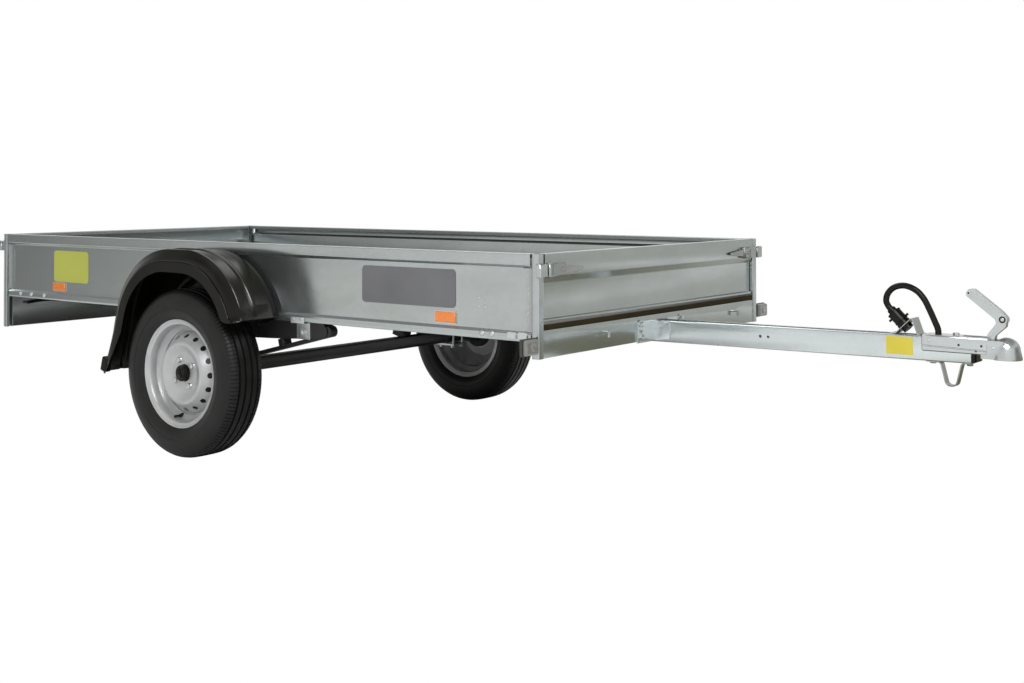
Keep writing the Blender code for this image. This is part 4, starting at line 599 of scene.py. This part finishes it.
# Wheel discs. A pressed steel rim painted silver, with a ring of round vents drawn as shallow recesses
# in the disc, their floors painted black as painted shade for a vent's dark inside, and a raised seat for four
# wheel bolts.
def wheel_paint():
    """Silver wheel paint over pressed steel, slightly uneven."""
    material, tree, shader = shader_tree("silver_wheel_paint")
    place = add_node(tree, "TexCoord").outputs["Object"]
    mist = add_node(tree, "TexNoise", {"Vector": place}, Scale=22.0, Detail=5.0)
    tone = add_node(tree, "MapRange", {"Value": mist.outputs["Fac"]},
                    **{"From Min": 0.3, "From Max": 0.7, "To Min": 0.93, "To Max": 1.05})
    tint(tree, shader, tone, (0.50, 0.505, 0.51))
    shader.inputs["Metallic"].default_value = 0.55
    shader.inputs["Roughness"].default_value = 0.38
    flake = add_node(tree, "TexNoise", {"Vector": place}, Scale=300.0, Detail=2.0)
    bump = add_node(tree, "Bump", {"Height": flake.outputs["Fac"]}, Strength=0.12, Distance=0.0004)
    tree.links.new(bump.outputs[0], shader.inputs["Normal"])
    return material


RIM_OUT, PLATE_Y = 0.0635, 0.0380
RIM_SECTION = ((0.1825, RIM_OUT), (0.1828, RIM_OUT - 0.003), (0.1815, RIM_OUT - 0.0065),
               (0.1770, RIM_OUT - 0.009), (0.1700, RIM_OUT - 0.011), (0.1665, RIM_OUT - 0.016),
               (0.1660, RIM_OUT - 0.034), (0.1630, RIM_OUT - 0.040), (0.1480, RIM_OUT - 0.048),
               (0.1460, RIM_OUT - 0.054), (0.1460, RIM_OUT - 0.072), (0.1480, RIM_OUT - 0.079),
               (0.1640, RIM_OUT - 0.088), (0.1660, RIM_OUT - 0.094), (0.1660, -RIM_OUT + 0.016),
               (0.1700, -RIM_OUT + 0.011), (0.1800, -RIM_OUT + 0.007), (0.1825, -RIM_OUT + 0.003),
               (0.1825, -RIM_OUT), (0.1795, -RIM_OUT + 0.001), (0.1650, -RIM_OUT + 0.007),
               (0.1620, -RIM_OUT + 0.014), (0.1620, -RIM_OUT + 0.032), (0.1440, -RIM_OUT + 0.046),
               (0.1420, 0.0015), (0.1395, 0.0045), (0.1060, 0.0460), (0.1005, 0.0492),
               (0.0950, 0.0480), (0.0715, 0.0345), (0.0650, 0.0340), (0.0290, 0.0340),
               (0.0290, 0.0372), (0.0300, PLATE_Y), (0.0630, PLATE_Y), (0.0670, 0.0384),
               (0.0720, 0.0402), (0.0900, 0.0502), (0.0935, 0.0524), (0.0970, 0.0535),
               (0.1010, 0.0535), (0.1045, 0.0522), (0.1085, 0.0490), (0.1385, 0.0125),
               (0.1410, 0.0090), (0.1428, 0.0095), (0.1440, RIM_OUT - 0.048),
               (0.1600, RIM_OUT - 0.036), (0.1622, RIM_OUT - 0.030), (0.1625, RIM_OUT - 0.014),
               (0.1670, RIM_OUT - 0.007), (0.1770, RIM_OUT - 0.004), (0.1795, RIM_OUT - 0.001))
VENTS, VENT_RADIUS, VENT_RING, VENT_Y = 16, 0.0100, 0.1236, 0.0290
SLOPE_RUN, SLOPE_FALL = 0.0300, 0.0365
PUNCH_DEPTH, PUNCH_SHIFT = 0.012, 0.004
BOLT_RING = 0.050
silver = wheel_paint()
for side_name, side in (("left", 1), ("right", -1)):
    hub_place = AXLE + Vector((0, side * WHEEL_Y, 0))
    rim = spun_wheel_part(RIM_SECTION, side, steps=128)
    bmesh.ops.translate(rim, vec=hub_place, verts=rim.verts)
    # The second slot, black, paints the floor of each vent recess: painted shade for the dark inside of a vent.
    piece = put_on(f"pressed_rim_{side_name}", rim, [silver, black_plastic],
                   f"wheel_{side_name}", [f"wheel_rim_{side_name}"], level=False)
    punches = bmesh.new()
    for k in range(VENTS):
        angle = math.tau * k / VENTS - PITCH
        outward = Vector((math.cos(angle), 0, math.sin(angle)))
        at = hub_place + outward * VENT_RING + Vector((0, side * VENT_Y, 0))
        square = outward * SLOPE_FALL + Vector((0, side * SLOPE_RUN, 0))
        bmesh.ops.create_cone(punches, cap_ends=True, segments=24, radius1=VENT_RADIUS,
                              radius2=VENT_RADIUS, depth=PUNCH_DEPTH,
                              matrix=Matrix.Translation(at + square.normalized() * PUNCH_SHIFT)
                              @ facing(square))
    # Each cutter's end cap carries the black slot, so the recess floors are painted shade; the recess walls stay
    # silver.
    for face in punches.faces:
        face.material_index = 1 if len(face.verts) > 4 else 0
    punch_mesh = bpy.data.meshes.new("vent_punches")
    punches.to_mesh(punch_mesh)
    punches.free()
    punch = bpy.data.objects.new("vent_punches", punch_mesh)
    bpy.context.scene.collection.objects.link(punch)
    vents = piece.modifiers.new("vents", "BOOLEAN")
    vents.operation, vents.solver, vents.object = "DIFFERENCE", "EXACT", punch
    bpy.context.view_layer.update()
    cut = bpy.data.meshes.new_from_object(piece.evaluated_get(bpy.context.evaluated_depsgraph_get()))
    piece.modifiers.clear()
    piece.data = cut
    cut.shade_smooth()
    cut.set_sharp_from_angle(angle=math.radians(34))
    bpy.data.objects.remove(punch)


# Wheel bolts and valve. Four hexagon bolts with tapered seats hold each disc to its hub, and a
# black rubber valve stands in the rim's well.
VALVE_ANGLE, VALVE_RADIUS = math.radians(257), 0.153
for side_name, side in (("left", 1), ("right", -1)):
    bolts = bmesh.new()
    for k in range(4):
        angle = math.pi * (0.18 + k / 2) - PITCH
        place = AXLE + Vector((BOLT_RING * math.cos(angle), side * (WHEEL_Y + PLATE_Y),
                               BOLT_RING * math.sin(angle)))
        bmesh.ops.create_cone(bolts, cap_ends=True, segments=24, radius1=0.0125, radius2=0.0095,
                              depth=0.005, matrix=Matrix.Translation(place) @ facing((0, side, 0)))
        add_hex(bolts, place + Vector((0, side * 0.001, 0)), (0, side, 0), 0.0165, 0.0065, washer=False)
    put_on(f"wheel_bolts_{side_name}", bolts, plated, f"wheel_{side_name}", level=False)
    valve = bmesh.new()
    angle = VALVE_ANGLE - PITCH
    place = AXLE + Vector((VALVE_RADIUS * math.cos(angle), side * (WHEEL_Y + 0.026),
                           VALVE_RADIUS * math.sin(angle)))
    for rise, radius1, radius2, tall in ((-0.004, 0.0085, 0.0065, 0.010), (0.010, 0.0048, 0.0042, 0.020),
                                         (0.022, 0.0046, 0.0040, 0.008)):
        bmesh.ops.create_cone(valve, cap_ends=True, segments=20, radius1=radius1, radius2=radius2,
                              depth=tall, matrix=Matrix.Translation(place) @ facing((0, side, 0))
                              @ Matrix.Translation((0, 0, rise)))
    put_on(f"tyre_valve_{side_name}", valve, rubber, f"wheel_{side_name}", level=False)


# Hubs. A black painted hub stands behind each disc, and its spigot carries a pressed black cap
# with a raised rim and a ridge across its face.
black_paint = enamel_finish("black_chassis_paint", (0.016, 0.016, 0.017), 0.42, 0.25)
HUB_SECTION = ((0.0, 0.0572), (0.0165, 0.0570), (0.0195, 0.0560), (0.0205, 0.0545), (0.0225, 0.0545),
               (0.0242, 0.0552), (0.0262, 0.0545), (0.0274, 0.0520), (0.0275, 0.0400), (0.0281, 0.0384),
               (0.0281, 0.0337), (0.0635, 0.0337), (0.0640, 0.0325), (0.0640, 0.0245), (0.0630, 0.0237),
               (0.0400, 0.0190), (0.0360, 0.0140), (0.0360, -0.0400), (0.0340, -0.0520), (0.0185, -0.0523),
               (0.0185, 0.0380), (0.0, 0.0390))
for side_name, side in (("left", 1), ("right", -1)):
    hub = spun_wheel_part(HUB_SECTION, side, steps=64, closed=False)
    bmesh.ops.create_cube(hub, size=1, matrix=Matrix.Translation((0, side * 0.0578, 0))
                          @ Matrix.Rotation(-0.35, 4, "Y") @ Matrix.Diagonal((0.0075, 0.0036, 0.031, 1)))
    bmesh.ops.translate(hub, vec=AXLE + Vector((0, side * WHEEL_Y, 0)), verts=hub.verts)
    for face in hub.faces:
        behind = abs(face.calc_center_median().y) < WHEEL_Y + 0.0345
        face.material_index = 1 if behind else 0
    put_on(f"capped_hub_{side_name}", hub, [black_plastic, black_paint],
           f"wheel_{side_name}", [f"wheel_hub_{side_name}"], level=False)


# Axle and springs. A black square beam with round stubs lies across fish-bellied rails, with a
# two-leaf spring in each rail, U-bolts over the beam and a clip round the leaves.
for node in ("axle_beam", "spring_rail_left", "spring_rail_right", "leaf_spring_left",
             "leaf_spring_right"):
    dress(f"{node}_painted", node, black_paint, 0.0008)


def add_block(bm, low, high, turn=None):
    """An upright block between two corners, turned about its middle if asked."""
    low, high = Vector(low), Vector(high)
    return bmesh.ops.create_cube(bm, size=1, matrix=Matrix.Translation((low + high) / 2)
                                 @ (turn or Matrix.Identity(4)) @ Matrix.Diagonal((*(high - low), 1)))


def add_tube(bm, points, radius, sides=12):
    """A round bar swept along points, closed at both ends."""
    points = [Vector(p) for p in points]
    rings, across = [], None
    for i, point in enumerate(points):
        along = (points[min(i + 1, len(points) - 1)] - points[max(i - 1, 0)]).normalized()
        across = along.orthogonal() if across is None else across
        across = (across - along * across.dot(along)).normalized()
        over = along.cross(across)
        rings.append([bm.verts.new(point + (across * math.cos(math.tau * k / sides)
                                            + over * math.sin(math.tau * k / sides)) * radius)
                      for k in range(sides)])
    for first, second in zip(rings, rings[1:]):
        for k in range(sides):
            bm.faces.new((first[k], first[(k + 1) % sides], second[(k + 1) % sides], second[k]))
    bm.faces.new(rings[0][::-1])
    bm.faces.new(rings[-1])


SPRING_Y, BEAM_Z = 0.605, AXLE.z
for side_name, side in (("left", 1), ("right", -1)):
    clamps = bmesh.new()
    for x in (-0.031, 0.031):
        for y in (SPRING_Y - 0.028, SPRING_Y + 0.028):
            add_tube(clamps, [(x, side * y, BEAM_Z - 0.046), (x, side * y, BEAM_Z + 0.048)], 0.005)
            add_hex(clamps, (x, side * y, BEAM_Z - 0.0385), (0, 0, -1), 0.015, 0.008)
        add_tube(clamps, [(x, side * (SPRING_Y - 0.028), BEAM_Z + 0.046),
                          (x, side * (SPRING_Y + 0.028), BEAM_Z + 0.046)], 0.005)
    add_block(clamps, (-0.045, side * SPRING_Y - 0.042, BEAM_Z - 0.037),
              (0.045, side * SPRING_Y + 0.042, BEAM_Z - 0.0305))
    put_on(f"spring_clamps_{side_name}", clamps, plated)
    clip = bmesh.new()
    for x, z in ((0.297, 0.3925), (-0.297, 0.3925)):
        add_block(clip, (x - 0.012, side * SPRING_Y - 0.0195, z - 0.013),
                  (x + 0.012, side * SPRING_Y + 0.0195, z + 0.013),
                  Matrix.Rotation(-0.26 if x > 0 else 0.26, 4, "Y"))
    ease_edges(put_on(f"spring_clips_{side_name}", clip, black_paint), 0.002)


# Hangers. Galvanised plates tie the spring rails to the sills, each with a bolt through its lug
# and two dimpled rivets through the sill.
bright_zinc = zinc_finish("bright_zinc", (0.62, 0.665, 0.67), 0.24, spangle=120.0, patch=0.06, wave=0.15)
for side_name, side in (("left", 1), ("right", -1)):
    for end in ("front", "rear"):
        node = f"hanger_{end}_{side_name}"
        dress(f"{node}_plate", node, bright_zinc, 0.0008)
        fixings = bmesh.new()
        x = 0.411 if end == "front" else -0.411
        add_hex(fixings, (x, side * 0.6300, 0.434), (0, side, 0), 0.016, 0.008)
        for shift in (-0.018, 0.018):
            add_dome(fixings, (x + shift, side * 0.6562, 0.480), (0, side, 0), 0.005, 0.0022)
        put_on(f"{node}_fixings", fixings, plated)


# Drawbar. A lipped channel in bright zinc, a blank yellow label on its near side, and two bolted
# brackets where it passes under the front crossmember.
pressed_zinc = zinc_finish("pressed_zinc", (0.42, 0.44, 0.43), 0.30, spangle=200.0, patch=0.08, wave=0.15)
for node in ("drawbar", "drawbar_bracket_left", "drawbar_bracket_right", "foot_loop", "plug_holder"):
    finish = pressed_zinc if node in ("foot_loop", "plug_holder") else bright_zinc
    dress(f"{node}_zinc", node, finish, 0.0007)
label = bmesh.new()
add_plate(label, (2.162, 0.437), (2.240, 0.488), 0.0301, -1, 0.0003, 0.002)
put_on("warning_label", label, enamel_finish("yellow_label", (0.63, 0.53, 0.05), 0.45, 0.05))
fixings = bmesh.new()
for x in (2.287, 2.390):
    add_hex(fixings, (x, 0, 0.4275), (0, 0, -1), 0.015, 0.010)
for side in (-1, 1):
    for z in (0.479, 0.449):
        add_hex(fixings, (1.3985, side * 0.121, z), (1, 0, 0), 0.015, 0.008)
put_on("drawbar_fixings", fixings, plated)


# End plug. A black plug closes the drawbar's open end under the coupling's neck.
end_plug = bmesh.new()
add_block(end_plug, (2.4033, -0.0285, 0.4285), (2.4130, 0.0285, 0.4565))
add_block(end_plug, (2.4125, -0.0240, 0.4305), (2.4160, 0.0240, 0.4545))
ease_edges(put_on("drawbar_end_cap", end_plug, black_plastic,
                  stands_for=["drawbar_end_plug"]), 0.0015)


# Coupling. A pressed head with a rolled bead along its sleeve, two dimples and a black rivet on its neck, and a
# flat pressed lever with a round boss at its elbow, a black ring round the boss's dome, and near its tip a black
# disc in a plated ring, painted shade that stands for a hole.
coupling_zinc = zinc_finish("coupling_zinc", (0.52, 0.55, 0.55), 0.26, spangle=160.0, patch=0.10, wave=0.20)
dress("coupling_head", "coupling_body", coupling_zinc, 0.0010)
dress("coupling_hand_lever", "coupling_lever", coupling_zinc, 0.0012, "coupling_lever")
trim = bmesh.new()
for side in (-1, 1):
    add_tube(trim, [(2.268, side * 0.0335, 0.4690), (2.300, side * 0.0335, 0.4675),
                    (2.446, side * 0.0335, 0.4645)], 0.0022)
    for x, z in ((2.286, 0.484), (2.462, 0.474)):
        add_dome(trim, (x, side * 0.0333, z), (0, side, 0), 0.0045, 0.0012)
put_on("coupling_bead", trim, bright_zinc)
rivet = bmesh.new()
for side in (-1, 1):
    for x, z in ((2.417, 0.463), (2.370, 0.476), (2.432, 0.477)):
        add_dome(rivet, (x, side * 0.0333, z), (0, side, 0), 0.0034, 0.0016)
put_on("coupling_rivet", rivet, black_paint)
boss = bmesh.new()
for side in (-1, 1):
    add_tube(boss, [(2.482, side * 0.0100, 0.550), (2.482, side * 0.0124, 0.550)], 0.0125, 32)
    add_dome(boss, (2.482, side * 0.0128, 0.550), (0, side, 0), 0.0050, 0.0014)
    add_tube(boss, [(2.391, side * 0.0100, 0.618), (2.391, side * 0.0120, 0.618)], 0.0070, 24)
pale = set(boss.faces)
# The black pieces: a ring round each boss's dome, and a disc inside the ring near the tip, painted shade where the
# hole is.
for side in (-1, 1):
    add_tube(boss, [(2.482, side * 0.0110, 0.550), (2.482, side * 0.0128, 0.550)], 0.0095, 32)
    add_tube(boss, [(2.391, side * 0.0110, 0.618), (2.391, side * 0.0123, 0.618)], 0.0030, 20)
for face in boss.faces:
    face.material_index = int(face not in pale)
put_on("lever_boss", boss, [plated, black_paint], "coupling_lever")


# Plug and lead. A black plug parks in the bent holder, with a smooth sleeve, two ears and a gland.
# Its lead loops over into the drawbar.
dress("parked_plug", "plug", black_plastic, 0.0008)
lead = bmesh.new()
route = [Vector((x, 0, z)) for x, z in (
    (2.1578, 0.5677), (2.151, 0.584), (2.157, 0.606), (2.177, 0.624), (2.208, 0.629), (2.240, 0.617),
    (2.262, 0.594), (2.277, 0.566), (2.290, 0.538), (2.300, 0.515), (2.302, 0.502), (2.302, 0.480))]
ends = [2 * route[0] - route[1], *route, 2 * route[-1] - route[-2]]
path = [Vector((2.1637, 0, 0.5618))]
for a, b, c, d in zip(ends, ends[1:], ends[2:], ends[3:]):
    path += [0.5 * (2 * b + (c - a) * t + (2 * a - 5 * b + 4 * c - d) * t ** 2
                    + (3 * b - a - 3 * c + d) * t ** 3) for t in (0, 0.2, 0.4, 0.6, 0.8)]
add_tube(lead, path + [route[-1]], 0.0088, 20)
put_on("plug_lead_hose", lead, black_plastic, stands_for=["plug_lead"])
ribs = bmesh.new()
plug_middle, into = Vector((2.2090, 0, 0.5166)), Vector((0.7071, 0, -0.7071))
add_tube(ribs, [plug_middle - into * 0.016, plug_middle - into * 0.050], 0.0195, 36)
for reach in (0.017, 0.047):
    add_tube(ribs, [plug_middle - into * reach, plug_middle - into * (reach + 0.003)], 0.0207, 36)
for reach, sense in ((0.020, 1), (0.040, -1)):
    ear = plug_middle - into * reach + Vector((0.7071, 0, 0.7071)) * sense * 0.019
    add_tube(ribs, [ear, ear + Vector((0.7071, 0, 0.7071)) * sense * 0.009], 0.0035, 10)
for reach in (0.053, 0.058):
    add_tube(ribs, [plug_middle - into * reach, plug_middle - into * (reach + 0.003)], 0.0130, 20)
put_on("plug_sleeve", ribs, black_plastic)


# Lamps and reflectors. Clear front marker lamps on grey bases, rear lamps with red and amber
# lenses, and amber reflectors in pale frames on the panels.
def lens_finish(name, colour, roughness=0.12, ribs=190.0):
    """A ribbed lens, coloured in the mass, over a pale reflector."""
    material, tree, shader = shader_tree(name)
    place = add_node(tree, "TexCoord").outputs["Object"]
    prisms = add_node(tree, "TexVoronoi", {"Vector": place}, Scale=ribs)
    tone = add_node(tree, "MapRange", {"Value": prisms.outputs["Distance"]},
                    **{"From Max": 0.7, "To Min": 1.08, "To Max": 0.82})
    tint(tree, shader, tone, colour)
    shader.inputs["Roughness"].default_value = roughness
    shader.inputs["Coat Weight"].default_value = 0.6
    bump = add_node(tree, "Bump", {"Height": prisms.outputs["Distance"]}, Strength=0.3, Distance=0.0006)
    tree.links.new(bump.outputs[0], shader.inputs["Normal"])
    return material


clear_lens = lens_finish("clear_lens", (0.20, 0.20, 0.19), 0.08)
grey_plastic = moulded_finish("moulded_grey", (0.055, 0.054, 0.048), 0.35, 0.06)
amber_lens = lens_finish("amber_lens", (0.92, 0.25, 0.03), ribs=260.0)
red_lens = lens_finish("red_lens", (0.45, 0.012, 0.012))
for side_name, side in (("left", 1), ("right", -1)):
    marker = bmesh.new()
    add_block(marker, (1.3920, side * 0.694 - 0.0310, 0.4400), (1.4070, side * 0.694 + 0.0310, 0.4850))
    ease_edges(put_on(f"marker_lens_{side_name}", marker, clear_lens,
                      stands_for=[f"marker_lamp_{side_name}"]), 0.007, 4)
    base = bmesh.new()
    add_block(base, (1.3836, side * 0.694 - 0.0340, 0.4380), (1.3935, side * 0.694 + 0.0340, 0.4870))
    ease_edges(put_on(f"marker_base_{side_name}", base, grey_plastic), 0.003, 3)
    bulb = bmesh.new()
    add_dome(bulb, (1.4068, side * 0.690, 0.4630), (1, 0, 0), 0.0130, 0.0030)
    put_on(f"marker_window_{side_name}", bulb, clear_lens)
    lamp = welded_copy(f"rear_lamp_{side_name}")
    inboard = (PARKED @ Vector((0, side * 0.500, 0))).y
    bmesh.ops.bisect_plane(lamp, geom=lamp.verts[:] + lamp.edges[:] + lamp.faces[:],
                           plane_co=(0, inboard, 0), plane_no=(0, 1, 0))
    for face in lamp.faces:
        face.material_index = 1 if abs(face.calc_center_median().y) > 0.500 else 0
    ease_edges(put_on(f"rear_lens_{side_name}", lamp, [red_lens, amber_lens],
                      stands_for=[f"rear_lamp_{side_name}"], level=False), 0.002)
    for end in ("front", "rear"):
        node = f"reflector_{end}_{side_name}"
        dress(f"{node}_lens", node, amber_lens, 0.0012)
        x = 1.042 if end == "front" else -0.948
        frame_plate = bmesh.new()
        add_plate(frame_plate, (x - 0.0425, 0.5045), (x + 0.0425, 0.5415), FIELD_Y + 0.0001, side,
                  0.0022, 0.004)
        put_on(f"{node}_frame", frame_plate, plated)


# Gate latches. Each is a plated case with a long tapered grip and a raised boss,
# and it hooks over a pale catch on the corner post.
latch_zinc = zinc_finish("latch_zinc", (0.36, 0.375, 0.365), 0.30, spangle=300.0, patch=0.06)
for gate, body in (("front", "front_gate"), ("rear", "rear_gate")):
    for side_name, side in (("left", 1), ("right", -1)):
        node = f"gate_latch_{gate}_{side_name}"
        dress(f"{node}_case", node, latch_zinc, 0.0015, body)
        sense, end_x = (1, BOX_FRONT) if gate == "front" else (-1, BOX_REAR)
        pad = bmesh.new()
        add_block(pad, (end_x + sense * 0.0175 - 0.001, side * 0.592 - 0.017, 0.6600),
                  (end_x + sense * 0.0195 + 0.001, side * 0.592 + 0.017, 0.6900))
        add_dome(pad, (end_x + sense * 0.0185, side * 0.561, 0.675), (sense, 0, 0), 0.0060, 0.0030)
        ease_edges(put_on(f"{node}_boss", pad, latch_zinc, body), 0.0010)


# Wiring. A black loom runs behind the rear light panel between the lamps.
loom = bmesh.new()
add_tube(loom, [(BOX_REAR + 0.020, y, 0.437 + 0.004 * math.sin(y * 23)) for y in
                [k * 0.04 - 0.56 for k in range(29)]], 0.0045, 8)
put_on("rear_loom", loom, black_plastic)
